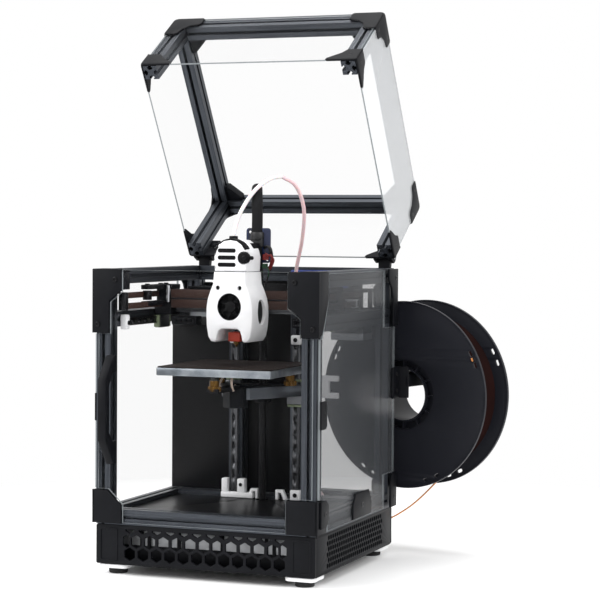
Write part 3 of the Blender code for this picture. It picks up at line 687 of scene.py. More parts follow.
# ---------------------------------------------------------------- linear rails
# Ground steel rails 7 mm wide stand on the Z posts, on the side beams and under the X beam, screwed down every
# 15 mm. Each carries a short ball carriage with green-grey end caps. White printed stops end the Z rails.
# A ground face is a darker grey metal, with fine lines along the rail.
ground_steel, tree, shader = surface("ground_rail_steel", "#5C5D60", 0.36, 0.95)
place = add_node(tree, "TexCoord", {})
grind = add_node(tree, "Mapping", {"Scale": (1500, 1500, 60)}, [("Vector", place.outputs["Object"])])
scratch = add_node(tree, "TexNoise", {"Scale": 1.0, "Detail": 2.0}, [("Vector", grind.outputs[0])])
bump = add_node(tree, "Bump", {"Strength": 0.1, "Distance": 0.0001}, [("Height", scratch.outputs[0])])
tree.links.new(bump.outputs[0], shader.inputs["Normal"])

RAIL = [(-3.5, 0), (-3.5, 1.5), (-2.9, 2.1), (-2.9, 3.1), (-3.5, 3.7), (-3.5, 4.9)]
RAIL_SECTION = RAIL + [(-a, b) for a, b in reversed(RAIL)]


def rail(name, facing, middle, turned, length, hole_axis, first, count):
    """A rail along one axis. turned maps its section's across and height; holes step 15 mm along it."""
    section = [turned(a, b) for a, b in RAIL_SECTION]
    bar = plate(name, [section], length, facing, middle, 0.15)
    holes = []
    for k in range(count):
        holes.append(rod("hole", first(k), 2.1, 7.0, hole_axis, 0, 16))
    return cut_by(bar, joined("holes", holes))


POST_FACE = 45.5
Z_RAIL = 34.2
z_rails = []
for side, sign in SIDES:
    x = sign * Z_RAIL
    z_rails.append(
        rail(
            f"z_rail_{side}", "XY", (x, POST_FACE, 143.0), lambda a, b: (a, -b - 0.05), 156.0, "Y",
            lambda k, x=x: (x, POST_FACE - 4.9, 68.0 + 15 * k), 11,
        )
    )
fitted(joined("z_rails", z_rails), ground_steel, "frame")
y_rails = []
for side, sign in SIDES:
    y_rails.append(
        rail(
            f"y_rail_{side}", "XZ", (sign * 100.0, -28.0, 247.0),
            lambda a, b, s=sign: (-s * (b + 0.05), a), 116.0, "X",
            lambda k, s=sign: (s * 95.1, -79.0 + 15 * k, 247.0), 7,
        )
    )
fitted(joined("y_rails", y_rails), steel_black, "frame")
x_rail = rail(
    "x_rail", "YZ", (0, -10.0, 259.5), lambda a, b: (a, -0.86 * b - 0.05), 152.0, "Z",
    lambda k: (-67.5 + 15 * k, -10.0, 254.6), 10,
)
fitted(x_rail, ground_steel, "gantry")

# Acetal is a waxy, even plastic.
end_cap, tree, shader = surface("green_acetal_caps", "#6F7A5E", 0.45)
patterned(tree, shader, "TexNoise", {"Scale": 400.0, "Detail": 2.0}, (0.05, 0.0002), placed=False)
z_carriages, z_caps = [], []
for side, sign in SIDES:
    x = sign * Z_RAIL
    body = block("carriage", (x - 8.4, x + 8.4), (37.6, 43.4), (160.0, 183.0), 0.6)
    z_carriages.append(body)
    for low in (157.4, 183.1):
        z_caps.append(block("cap", (x - 8.0, x + 8.0), (38.0, 43.2), (low, low + 2.5), 0.5))
fitted(joined("z_carriages", z_carriages), ground_steel, "bed")
fitted(joined("z_carriage_caps", z_caps), end_cap, "bed")
y_carriages, y_caps = [], []
for side, sign in SIDES:
    x = span(sign, 98.2, 92.2)
    y_carriages.append(block("carriage", x, (-17.0, 6.0), (238.6, 251.6), 0.6))
    for low in (-19.6, 6.1):
        y_caps.append(block("cap", x, (low, low + 2.5), (239.2, 251.4), 0.5))
fitted(joined("y_carriages", y_carriages), ground_steel, "gantry")
fitted(joined("y_carriage_caps", y_caps), end_cap, "gantry")
x_carriage = block("x_carriage", (-9.5, 13.5), (-18.4, -1.6), (251.4, 257.2), 0.6)
fitted(x_carriage, ground_steel, "toolhead")

stops, stop_screws = [], []
for side, sign in SIDES:
    x = sign * Z_RAIL
    stops.append(block("upper_stop", (x - 5.4, x + 5.4), (39.5, 45.3), (221.3, 231.0), 1.6))
    stop_screws.append(socket_screw("stop_screw", x, 39.6, 226.2, "-Y", 2.3, 1.0))
stops.append(block("stop_base", (-47.0, -11.0), (36.0, 45.2), (60.7, 66.5), 1.2))
stops.append(block("stop_left", (-46.4, -39.6), (36.4, 45.2), (60.9, 80.5), 1.2))
stops.append(block("stop_right", (-28.8, -20.5), (36.4, 45.2), (60.9, 80.5), 1.2))
stops.append(block("lower_stop", (29.2, 40.4), (38.6, 45.2), (60.7, 71.5), 1.4))
stop_screws.append(socket_screw("stop_screw", 35.0, 38.7, 66.2, "-Y", 2.3, 1.0))
stop_screws.append(socket_screw("stop_screw", -24.6, 36.5, 74.5, "-Y", 1.9, 0.9))
for x0, lean in ((-18.5, 1), (13.5, -1)):
    leg = [(0, 0), (3.6, 0), (6.4, 7.2), (9.6, 7.2), (9.6, 0), (12.4, 0), (12.4, 10.2), (4.4, 10.2)]
    shape = [(x0 + (a if lean > 0 else 12.4 - a), 60.8 + b) for a, b in leg]
    stops.append(plate("motor_bridge", [shape[::lean]], 6.0, "XZ", (0, 41.0, 0), 0.7))
fitted(joined("rail_stops", stops), white_print, "frame")
fitted(joined("rail_stop_screws", stop_screws), steel_black, "frame")
y_stop = block("y_rail_stop", (-99.8, -92.6), (-94.5, -86.6), (240.0, 254.6), 1.4)
fitted(y_stop, white_print, "frame")
fitted(socket_screw("y_stop_screw", -92.7, -90.5, 246.6, "X", 2.3, 1.0), steel_black, "frame")


# ---------------------------------------------------------------------- gantry
# The X beam joins two printed blocks that ride on the side rails. Each block holds two idlers, and two steel
# cored belts cross between the blocks, the front idlers and the motors at the back.
# The belts are matt brown rubber, toothed every 2 mm.
belt_rubber, tree, shader = surface("brown_belt_rubber", "#33201A", 0.6, Specular_IOR_Level=0.3)
patterned(tree, shader, "TexWave", {"bands_direction": "X", "Scale": 155.0, "Distortion": 0.0}, (0.3, 0.0003))

dress(anodised_x, "x_beam")
joint_pieces, idlers, joint_screws, standoffs = [], [], [], []
for side, sign in SIDES:
    plan = [
        (98.6, 4.0), (79.5, 4.0), (79.5, -17.6), (87.9, -17.6), (87.9, -49.5), (90.0, -52.0), (96.2, -52.0),
        (98.6, -49.5),
    ]
    plan = [(sign * a, b) for a, b in (plan if sign < 0 else plan[::-1])]
    for low, high in ((262.0, 266.5), (278.5, 283.0)):
        joint_pieces.append(plate("joint_plate", [plan], high - low, "XY", (0, 0, (low + high) / 2), 0.8))
    x = span(sign, 79.6, 98.5)
    joint_pieces.append(block("joint_core", x, (-13.0, 3.8), (252.2, 282.0), 0.8))
    joint_pieces.append(block("joint_foot", x, (-18.2, 3.9), (252.0, 263.0), 0.8))
    shelf = block("joint_shelf", span(sign, 52.0, 79.4), (-18.0, -3.4), (242.0, 251.0), 0.8)
    row = [rod("hole", (sign * (57 + 5.5 * k), -18, 246.5), 1.2, 8, "Y", 0, 12) for k in range(4)]
    joint_pieces.append(cut_by(shelf, joined("holes", row)))
    idlers.append(rod("idler", (sign * 93.2, -46.0, 272.5), 4.6, 9.4, "Z", 0.5))
    idlers.append(rod("idler", (sign * 86.0, -10.0, 272.5), 4.6, 3.0, "Z", 0.5))
    for y in (-46.0, -14.0, -1.0):
        joint_screws.append(socket_screw("joint_screw", sign * 93.2, y, 282.9, "Z", 2.6, 1.3))
    standoffs.append(rod("standoff", (sign * 83.4, -16.3, 273.5), 2.3, 17.0, "Z", 0.4, 20))
fitted(joined("xy_joints", joint_pieces), black_print, "gantry", ["xy_joint_left", "xy_joint_right"])
fitted(joined("joint_idlers", idlers + joint_screws), steel_black, "gantry")
fitted(joined("joint_standoffs", standoffs), zinc, "gantry")

belts = []
for low in (259.4, 269.6):
    belts.append(block("belt_across", (-79.2, 79.2), (-19.4, -18.0), (low, low + 8.6), 0.2))
fitted(joined("x_belts", belts), belt_rubber, "gantry")
side_belts = []
for side, sign in SIDES:
    for x, low in ((95.6, 270.4), (89.6, 260.4)):
        thick = sorted((sign * x, sign * (x + 1.2)))
        side_belts.append(block("belt_along", thick, (-98.0, 66.0), (low, low + 6.0), 0.2))
fitted(joined("side_belts", side_belts), belt_rubber, "frame")
front_idlers = [rod("front_idler", (s * 93.0, -101.0, 268.0), 4.8, 18.0, "Z", 0.5) for s in (-1, 1)]
fitted(joined("front_idlers", front_idlers), steel_black, "frame")


# -------------------------------------------------------------------- toolhead
# A white printed cowl in three pieces hides the hot end: the extruder's rounded cover on top with three vents,
# the fan housing with a round intake in its face and one in each flank, and two air ducts that arch below.
COWL = 2.0
BODY_FRONT, BODY_BACK = -60.0, -18.8
lower_half = [
    (0.0, 241.0), (8.5, 241.0), (11.6, 239.0), (13.2, 234.5), (14.2, 229.4), (16.2, 227.9), (21.2, 228.6),
    (24.4, 233.4), (26.2, 243.0), (26.8, 254.0), (26.6, 263.0), (25.2, 271.0), (22.0, 279.5), (19.3, 285.5),
    (18.2, 297.4), (0.0, 297.4),
]
upper_half = [
    (0.0, 298.0), (18.2, 298.0), (18.4, 303.0), (18.9, 312.0), (17.2, 319.0), (13.2, 325.0), (7.4, 328.8),
    (0.0, 329.8),
]


def both_halves(half):
    """An outline about the cowl's own middle, from its right half."""
    right = [(COWL + a, b) for a, b in half]
    left = [(COWL - a, b) for a, b in reversed(half) if a > 0]
    return right + left


def drafted(piece, front, back, shrink):
    """Narrows the piece towards its front, as the cowl's sides lean in."""
    for vertex in piece.data.vertices:
        share = (back - (vertex.co.y - MIDDLE.y) / MM) / (back - front)
        share = max(0.0, min(1.0, share))
        middle = at(COWL, 0, 0).x
        vertex.co.x = middle + (vertex.co.x - middle) * (1 - shrink * share**2)
    return piece


FAN_X, FAN_Z = 2.2, 263.1
housing_middle = (0, (BODY_FRONT + BODY_BACK) / 2, 0)
lower = plate("fan_housing", [both_halves(lower_half)], BODY_BACK - BODY_FRONT, "XZ", housing_middle, 3.2)
intake = rod("intake", (FAN_X, -60.0, FAN_Z), 13.5, 18.0, "Y", 0, 64)
flank_holes = []
for sign in (-1, 1):
    ring = rod("flank_hole", (COWL + sign * 26.0, -38.5, 257.5), 9.5, 14.0, "X", 0, 40)
    flat = at(0, -38.5, 257.5)
    for vertex in ring.data.vertices:
        vertex.co.z = flat.z + (vertex.co.z - flat.z) * 1.32
    flank_holes.append(ring)
lower = cut_by(lower, intake, *flank_holes)
COWL_SCREWS, COWL_SCREW_Z = (-10.8, 13.8), 281.8
screw_holes = [rod("screw_hole", (x, -60.0, COWL_SCREW_Z), 2.3, 6.0, "Y", 0, 20) for x in COWL_SCREWS]
lower = cut_by(lower, *screw_holes)
arch = [(COWL + a, b) for a, b in ((-11.5, 200), (11.5, 200), (11.5, 236), (8, 240.5), (-8, 240.5), (-11.5, 236))]
lower = cut_by(lower, plate("arch_cut", [arch], 46.0, "XZ", (0, -40.0, 0), 0.1))
upper = plate("extruder_cover", [both_halves(upper_half)], 37.0, "XZ", (0, -39.5, 0), 3.4)
vents = []
for z in (304.6, 311.6, 318.6):
    vents.append(plate("vent", [rounded_rectangle(-12.0, 8.5, z - 2.1, z + 2.1, 2.0)], 5.0, "XZ", (0, -59.0, 0), 0.1))
latch_well = rod("latch_well", (17.0, -58.0, 311.5), 6.4, 12.0, "Y", 0, 40)
upper = cut_by(upper, *vents, latch_well)
cowl = joined("cowl", [lower, upper])
drafted(cowl, BODY_FRONT, BODY_BACK, 0.06)
eased(cowl, 0)
fitted(cowl, white_print, "toolhead", ["toolhead"])

# Glass-filled nylon is a deep, slightly rough black.
inner, tree, shader = surface("black_glass_filled_nylon", "#0A0A0C", 0.55, Specular_IOR_Level=0.12)
patterned(tree, shader, "TexNoise", {"Scale": 700.0, "Detail": 3.0}, (0.15, 0.0002), placed=False)
dark = [
    block("vent_backing", (-14.0, 12.0), (-57.4, -55.2), (300.5, 322.5), 0.4),
    block("carriage_plate", (-16.5, 20.5), (-21.6, -18.5), (240.0, 322.0), 1.0),
    rod("latch", (17.0, -56.5, 311.5), 5.6, 6.0, "Y", 0.8),
    block("latch_lever", (15.2, 25.4), (-58.6, -52.0), (309.6, 313.4), 1.4),
    block("motor", (-14.0, 18.0), (-36.0, -16.5), (296.0, 326.0), 1.0),
]
for sign in (-1, 1):
    x = sorted((COWL + sign * 19.0, COWL + sign * 23.2))
    dark.append(block("blower", x, (-50.5, -26.5), (242.0, 273.0), 0.6))


def arc(radius_x, radius_z, middle_z, first, last):
    """Points every 8 degrees over the cowl's top, first and last given from the vertical."""
    step = 8 if last > first else -8
    angles = [math.radians(t) for t in range(first, last, step)]
    return [(COWL + radius_x * math.sin(a), middle_z + radius_z * math.cos(a)) for a in angles]


band = arc(19.8, 20.6, 309.9, -38, 66) + arc(18.2, 18.0, 309.6, 58, -46)
dark.append(plate("top_band", [band], 10.0, "XZ", (0, -52.0, 0), 0.4))
fitted(joined("toolhead_core", dark), inner, "toolhead")
head_screws = [socket_screw("cowl_screw", x, -57.6, COWL_SCREW_Z, "-Y", 2.1, 1.2) for x in COWL_SCREWS]
head_screws.append(socket_screw("latch_screw", 18.0, -59.6, 311.5, "-Y", 2.4, 1.0))
fitted(joined("cowl_screws", head_screws), steel_black, "toolhead")

# The fan's frame sits in the cowl's intake, with the rotor's blades swept back from a plain hub.
ring = [hexagon(FAN_X, FAN_Z, radius, 64) for radius in (13.3, 12.7)]
fan_frame = [
    plate("fan_frame", ring, 7.0, "XZ", (0, -55.6, 0), 0.2),
    rod("fan_back", (FAN_X, -51.6, FAN_Z), 13.2, 0.8, "Y", 0.1, 48),
]
spoke = [(FAN_X - 0.8, FAN_Z), (FAN_X + 0.8, FAN_Z), (FAN_X + 0.8, 275.9), (FAN_X - 0.8, 275.9)]
fan_frame.append(plate("spoke", [spoke], 0.8, "XZ", (0, -51.0, 0), 0.1))
fitted(joined("fan_frame", fan_frame), inner, "toolhead")
blade_shape = [(4.6, -1.8), (8.2, -3.4), (11.9, -3.0), (12.2, 1.2), (9.0, 1.6), (4.8, 1.6)]
blade = plate("blade", [blade_shape], 0.9, "XZ", (0, 0, 0), 0.2)
BLADES = 7
lean = Matrix.Rotation(math.radians(28), 4, "X")
blades = [rod("fan_hub", (FAN_X, -55.2, FAN_Z), 5.6, 4.6, "Y", 0.6, 48)]
for k in range(BLADES):
    twin = copied(blade, 0, 0, 0)
    turn = Matrix.Rotation(2 * math.pi * k / BLADES, 4, "Y")
    place = Matrix.Translation(at(FAN_X, -55.0, FAN_Z))
    twin.data.transform(place @ turn @ lean @ Matrix.Translation(-at(0, 0, 0)))
    blades.append(twin)
bpy.data.objects.remove(blade)
fitted(joined("fan_rotor", blades), inner, "fan", ["toolhead_fan"])

# Hot end: an aluminium block in an orange silicone boot, with a brass nozzle.
# Silicone has a powdery bloom.
silicone, tree, shader = surface("orange_silicone", "#A82E14", 0.55)
patterned(tree, shader, "TexNoise", {"Scale": 500.0, "Detail": 2.0}, (0.1, 0.0002), placed=False)
# Turned brass shows the tool's fine rings.
brass, tree, shader = surface("machined_brass", "#5E4522", 0.34, 1.0)
patterned(tree, shader, "TexWave", {"bands_direction": "Z", "Scale": 500.0}, (0.08, 0.0001))
fitted(block("heater_boot", (-4.5, 8.5), (-47.0, -32.0), (228.2, 237.6), 1.2), silicone, "toolhead")
nozzle = rod("nozzle", (2.0, -40.0, 227.0), 3.3, 2.6, "Z", 0.3, 6)
tip_cone = rod("nozzle_cone", (2.0, -40.0, 224.4), 2.4, 3.4, "Z", 0.2, 24)
TIP_SHARE = 0.3
centre = at(2.0, -40.0, 224.3)
for vertex in tip_cone.data.vertices:
    if vertex.co.z < centre.z:
        vertex.co.x = centre.x + (vertex.co.x - centre.x) * TIP_SHARE
        vertex.co.y = centre.y + (vertex.co.y - centre.y) * TIP_SHARE
fitted(joined("brass_nozzle", [nozzle, tip_cone]), brass, "toolhead")

# Toolhead board: a small blue circuit board stands behind the extruder with its plugs and wires.
def circuit_board(name, roughness, scale, lacquer, bay, track):
    # Solder mask is a glossy tinted lacquer, a little paler along the tracks beneath it.
    material, tree, shader = surface(name, lacquer, roughness)
    tints = {"Scale": scale, "Color1": colour(lacquer), "Color2": colour(bay), "Mortar": colour(track)}
    tree.links.new(add_node(tree, "TexBrick", tints).outputs[0], shader.inputs["Base Color"])
    return material


solder_mask = circuit_board("blue_solder_mask", 0.4, 120.0, "#0C1530", "#101C3E", "#1B305C")
board_holes = [hexagon(6.0, 337.0, 1.4, 16), hexagon(24.5, 309.5, 1.4, 16)]
board_shape = [rounded_rectangle(2.0, 28.0, 306.0, 341.0, 3.0)] + board_holes
fitted(plate("toolhead_board", board_shape, 1.6, "XZ", (0, -15.2, 0), 0.2), solder_mask, "toolhead")
# A second board hangs at the front of the rear beam, where the wires come together.
breakout_shape = [rounded_rectangle(6, 70, 266, 297, 2), hexagon(66, 293, 1.4, 16)]
breakout = plate("breakout_board", breakout_shape, 1.6, "XZ", (0, 98.6, 0), 0.2)
# Its blue is painted much paler than the toolhead board's solder mask: painted light, which lifts it out of the shade
# at the back of the frame.
board_blue_with_painted_light, tree, shader = surface("blue_lacquered_board", "#26397F", 0.45)
fitted(breakout, board_blue_with_painted_light, "frame")


def wire_plastic(name, base, roughness=0.5):
    # Plugs and wire covers are soft plastics with an even, slightly dented gloss.
    material, tree, shader = surface(name, base, roughness)
    patterned(tree, shader, "TexNoise", {"Scale": 250.0, "Detail": 2.0}, (0.05, 0.0002), placed=False)
    return material


plug_red = wire_plastic("red_nylon", "#6E1411")
plug_green = wire_plastic("green_nylon", "#123A22")
wire_black = wire_plastic("black_pvc", "#121214", 0.45)


def smooth_route(points, steps):
    """Points on a smooth curve through the route's own points."""
    route = [Vector(p) for p in points]
    ends = [2 * route[0] - route[1]] + route + [2 * route[-1] - route[-2]]
    path = []
    for k in range(steps):
        along = k * (len(route) - 1) / (steps - 1)
        n = min(int(along), len(route) - 2)
        t = along - n
        a, b, c, d = ends[n : n + 4]
        path.append(
            0.5 * (2 * b + (c - a) * t + (2 * a - 5 * b + 4 * c - d) * t**2 + (3 * b - a - 3 * c + d) * t**3)
        )
    return path


def tube(name, points, diameter, steps, rounds=4):
    """A round cord along a smooth route, with closed ends."""
    bpy.ops.object.select_all(action="DESELECT")
    line = bpy.data.curves.new(name, "CURVE")
    line.dimensions = "3D"
    line.bevel_depth = diameter / 2 * MM
    line.bevel_resolution = rounds
    line.use_fill_caps = True
    path = smooth_route(points, steps)
    spline = line.splines.new("POLY")
    spline.points.add(len(path) - 1)
    for point, place in zip(spline.points, path):
        point.co = (*at(*place), 1.0)
    made = bpy.data.objects.new(name, line)
    bpy.context.scene.collection.objects.link(made)
    alone(made)
    bpy.ops.object.convert(target="MESH")
    made = bpy.context.object
    sealed(WELD)
    bpy.ops.object.shade_smooth_by_angle(angle=math.radians(50))
    return made


red_bits = [block("plug", (21.0, 26.5), (-19.5, -14.0), (309.0, 315.0), 0.5)]
for k in range(4):
    bend = [(24, -19, 311 + 1.6 * k), (31 + k, -21, 314.5 - 1.5 * k), (28.5, -17, 306 - 2 * k), (25, -14, 300)]
    red_bits.append(tube("wire", bend, 1.2, 14, 2))
fitted(joined("red_plugs_and_wires", red_bits), plug_red, "toolhead")
green_bits = [
    block("plug", (20.0, 25.0), (-19.5, -14.0), (300.5, 305.5), 0.5),
    tube("wire", [(23, -19, 303), (28, -21, 300), (26, -16, 292)], 1.2, 12, 2),
]
fitted(joined("green_plugs_and_wires", green_bits), plug_green, "toolhead")
black_bits = [rod("sleeve_clamp", (14, -15.5, 333.0), 7.2, 8.0, "Z", 1.0)]
for k in range(3):
    bend = [(20, -15, 322 - k), (27 + k, -18, 322), (27 + k, -12, 306), (22, -9, 290), (18, -8, 278)]
    black_bits.append(tube("wire", bend, 1.6, 18, 2))
black_bits.append(block("sleeve_bracket", (7.0, 21.0), (-20.0, -12.0), (322.0, 330.5), 1.2))
fitted(joined("black_wires_and_clamp", black_bits), wire_black, "toolhead")


# ------------------------------------------------------------------ heated bed
# A cast aluminium plate, milled on its edges, on three brass thumb nuts over two anodised arms that meet in a
# printed nose. A brown sheet of coated spring steel is held on it by magnets.
def cast_aluminium(name, low, high):
    # Milled cast plate: bright, with soft blotches.
    material, tree, shader = surface(name, low, 0.36, 1.0)
    blotch = patterned(tree, shader, "TexNoise", {"Scale": 45.0, "Detail": 5.0}, (0.1, 0.0003))
    tinted(tree, shader, blotch, low, high, 0.3, 0.7)
    return material


milled = cast_aluminium("milled_aluminium", "#6C7278", "#A9AFB5")
bed = plate("bed_slab", [rounded_rectangle(-60.5, 60.5, -95, 25, 1.5)], 7.6, "XY", (0, 0, 199.8), 0.7)
fitted(bed, milled, "bed", ["bed_plate"])

# The powder coat is a dark brown grit, with almost no gloss.
coating, tree, shader = surface("powder_coated_spring_steel", "#1C1411", 0.65, Specular_IOR_Level=0.15)
patterned(tree, shader, "TexNoise", {"Scale": 800.0, "Detail": 2.0}, (0.25, 0.0002))
flex = plate("build_sheet", [rounded_rectangle(-60, 60, -94.5, 24.5, 3.0)], 0.9, "XY", (0, 0, 204.35), 0.15)
fitted(flex, coating, "bed", ["flex_plate"])

bed_arms = []
for sign in (-1, 1):
    arm = [(sign * a, b) for a, b in [(6.0, -36), (14.5, -34), (44.0, 30), (44.0, 44.2), (33.5, 44.2), (33.5, 32)]]
    bed_arms.append(plate("bed_arm", [arm[::sign]], 12.0, "XY", (0, 0, 175.5), 0.7))
bar_shape = [rounded_rectangle(-36, 36, 26.5, 44.0, 1.0), hexagon(0, SCREW_Y, 4.6, 24)]
bar = plate("bed_bar", bar_shape, 9.6, "XY", (0, 0, 175.5), 0.3)
light_anodised = cast_aluminium("grey_anodised_arms", "#4C4F54", "#666A70")
fitted(joined("bed_arms", bed_arms), light_anodised, "bed", ["bed_carrier"])
nose = [(0, -52), (10.8, -43.5), (10.8, -30), (-10.8, -30), (-10.8, -43.5)]
printed_bed = [
    bar,
    plate("bed_nose", [nose], 20.0, "XY", (0, 0, 172.0), 0.8),
    block("bed_tongue", (-6, 6), (-96, -40), (180.0, 184.5), 0.8),
    rod("nut_block", (0, SCREW_Y, 166.0), 8.5, 9.0, "Z", 0.8),
]
cut_by(printed_bed[-1], rod("bore", (0, SCREW_Y, 166.0), 4.6, 12.0, "Z", 0, 24))
fitted(joined("bed_nose_and_bar", printed_bed), black_print, "bed")

jaw = [
    (61, 168), (82, 168), (82, 173.6), (72, 173.6), (72, 185.6), (82, 185.6), (82, 191), (61, 191), (61, 182),
    (44, 180), (44, 172), (61, 172),
]
fitted(plate("bed_jaw", [jaw], 7.0, "XZ", (0, 38.0, 0), 0.9), white_print, "bed")

nuts, springs = [], []
for x, y in ((0, -90), (39.5, 12), (-39.5, 12)):
    knurl = []
    for k in range(36):
        radius = 6.5 if k % 2 else 5.9
        knurl.append((x + radius * math.cos(k * math.pi / 18), y + radius * math.sin(k * math.pi / 18)))
    nuts.append(plate("thumb_nut", [knurl], 5.0, "XY", (0, 0, 184.2), 0.3))
    nuts.append(rod("nut_neck", (x, y, 189.4), 4.9, 6.0, "Z", 0.4, 24))
    nuts.append(rod("stud", (x, y, 189.0), 1.6, 14.0, "Z", 0.2, 16))
    springs.append(rod("spacer", (x, y, 192.8), 4.6, 6.0, "Z", 0.6, 24))
fitted(joined("thumb_nuts", nuts), brass, "bed")
fitted(joined("bed_spacers", springs), rubber, "bed")
thick_wire = [(6, -60, 195.6), (7, -64, 188), (5, -55, 180.5), (3, -46, 183.0), (0, -38, 184)]
thin_wire = [(-3, -58, 195.6), (-5, -66, 187), (-2, -58, 181.0), (-1, -48, 183.2), (-3, -38, 184)]
wires = [tube("bed_wire", thick_wire, 2.4, 22, 3), tube("bed_wire", thin_wire, 2.0, 22, 3)]
fitted(joined("bed_wires", wires), wire_plastic("white_silicone_wire", "#C9B7A8"), "bed")


# ------------------------------------------------------------- lift and drives
# Three hybrid stepper motors, 35 mm square: black laminations between cast end bells. One turns the trapezoidal
# screw of the lift, and two in the rear corners drive the belts.
# Cast ends are pale, lightly pitted metal; the laminations are dark and lined.
cast_bell, tree, shader = surface("cast_end_bell", "#8F9296", 0.45, 0.9)
patterned(tree, shader, "TexNoise", {"Scale": 350.0, "Detail": 3.0}, (0.1, 0.0002), placed=False)
lamination, tree, shader = surface("black_lamination", "#161618", 0.42, 0.3)
patterned(tree, shader, "TexWave", {"bands_direction": "Z", "Scale": 300.0}, (0.2, 0.0002))


def stepper(x, y, top):
    """The motor's two metals: laminations, and a bell at each end."""
    square = [(x + a, y + b) for a, b in rounded_rectangle(-17.6, 17.6, -17.6, 17.6, 3.4, 1)]
    core = [(x + a, y + b) for a, b in rounded_rectangle(-17.3, 17.3, -17.3, 17.3, 4.4, 1)]
    middle = plate("laminations", [core], 14.2, "XY", (0, 0, top - 14.0), 0.2)
    bells = [
        plate("bell", [square], 7.0, "XY", (0, 0, top - 3.6), 0.5),
        plate("bell", [square], 7.0, "XY", (0, 0, top - 24.4), 0.5),
    ]
    return middle, bells


middle_z, bells_z = stepper(0.0, SCREW_Y, 49.6)
fitted(middle_z, lamination, "frame", ["z_motor"])
fitted(joined("z_motor_bells", bells_z), cast_bell, "frame")
DRIVE_Y = 81.5
cores, bells, drive_prints, pulleys = [], [], [], []
for side, sign in SIDES:
    drive_x = sign * 80.5
    core, bell = stepper(drive_x, DRIVE_Y, 254.0)
    cores.append(core)
    bells += bell
    mount = rounded_rectangle(drive_x - 18.6, drive_x + 18.6, 63.2, 99.6, 3.0)
    drive_prints.append(plate("drive_mount", [mount], 4.6, "XY", (0, 0, 256.6), 0.7))
    for x, y in ((-15, -15), (15, -15), (-15, 15), (15, 15)):
        drive_prints.append(rod("drive_post", (drive_x + x, DRIVE_Y + y, 267.0), 2.6, 17.0, "Z", 0.4, 20))
    cap = [mount, hexagon(drive_x, DRIVE_Y, 8.5, 40)]
    drive_prints.append(plate("drive_cap", cap, 3.4, "XY", (0, 0, 277.0), 0.7))
    teeth = []
    for k in range(64):
        radius = 5.6 if k % 4 < 2 else 5.0
        around = k * math.pi / 32
        teeth.append((drive_x + radius * math.cos(around), DRIVE_Y + radius * math.sin(around)))
    for low in (259.2, 269.2):
        for flange in (low + 0.5, low + 8.0):
            pulleys.append(rod("pulley_flange", (drive_x, DRIVE_Y, flange), 7.0, 1.0, "Z", 0.2, 36))
        pulleys.append(plate("pulley_teeth", [teeth], 6.4, "XY", (0, 0, low + 4.25), 0.05))
fitted(joined("belt_motor_cores", cores), lamination, "frame", ["belt_drive_left", "belt_drive_right"])
fitted(joined("belt_motor_bells", bells), cast_bell, "frame")
fitted(joined("belt_drive_mounts", drive_prints), black_print, "frame")
fitted(joined("drive_pulleys", pulleys), zinc, "frame")

RIDGES, RIDGE_STEP = 92, 2.0
thread = [rod("ridge", (0, SCREW_Y, 51.2), 4.0, 1.1, "Z", 0.25, 20)]
for k in range(1, RIDGES):
    thread.append(copied(thread[0], 0, 0, RIDGE_STEP * k))
thread.append(rod("screw_core", (0, SCREW_Y, 142.9), 3.3, 186.0, "Z", 0.4, 20))
fitted(joined("trapezoidal_screw", thread), steel_black, "screw", ["lead_screw"])


# ------------------------------------------------------------------- top cover
# A ring of the same beams on four posts, open below, with five clear sheets. Printed brackets wrap its outer
# corners and the ends of its posts. It stands open on two printed hinges, past upright on the back.
LID_ANGLE = -57.5
HINGE_Y, HINGE_Z = 122.6, 310.4
OPENED = turn_about(at(0, HINGE_Y, HINGE_Z), LID_ANGLE, "X")


def opened(piece):
    """Turns a piece of the cover from where it would lie with the cover closed."""
    piece.data.transform(OPENED)
    return piece


lid_beam_x = anodised("anodised_cover_x", "X", LID_ANGLE)
lid_beam_y = anodised("anodised_cover_y", "Y", LID_ANGLE)
lid_beam_z = anodised("anodised_cover_z", "Z", LID_ANGLE)
dress(lid_beam_x, "lid_beam_front", "lid_beam_rear")
for side, _ in SIDES:
    dress(lid_beam_y, f"lid_beam_{side}")
    dress(lid_beam_z, f"lid_post_front_{side}", f"lid_post_rear_{side}")

THIN = 1.6
THIN_MIDDLE = FACE + GAP + THIN / 2
wall = rounded_rectangle(-114.6, 114.6, 301.2, 400.6, 1.0)
cover_sheets = {
    "top": (rounded_rectangle(-115, 115, -115, 115, 1.0), "XY", (0, 0, 400.8 + THIN / 2)),
    "front": (wall, "XZ", (0, -THIN_MIDDLE, 0)),
    "rear": (wall, "XZ", (0, THIN_MIDDLE, 0)),
    "left": (wall, "YZ", (-THIN_MIDDLE, 0, 0)),
    "right": (wall, "YZ", (THIN_MIDDLE, 0, 0)),
}
for side, (outline, facing, middle) in cover_sheets.items():
    # The cover's right sheet has the painted reflection; the other four are clear.
    face = reflection_painted_sheet if side == "right" else clear_sheet
    sheet(f"cover_sheet_{side}", outline, THIN, facing, middle, face, "lid", ["lid_glazing"], 0.15, opened)

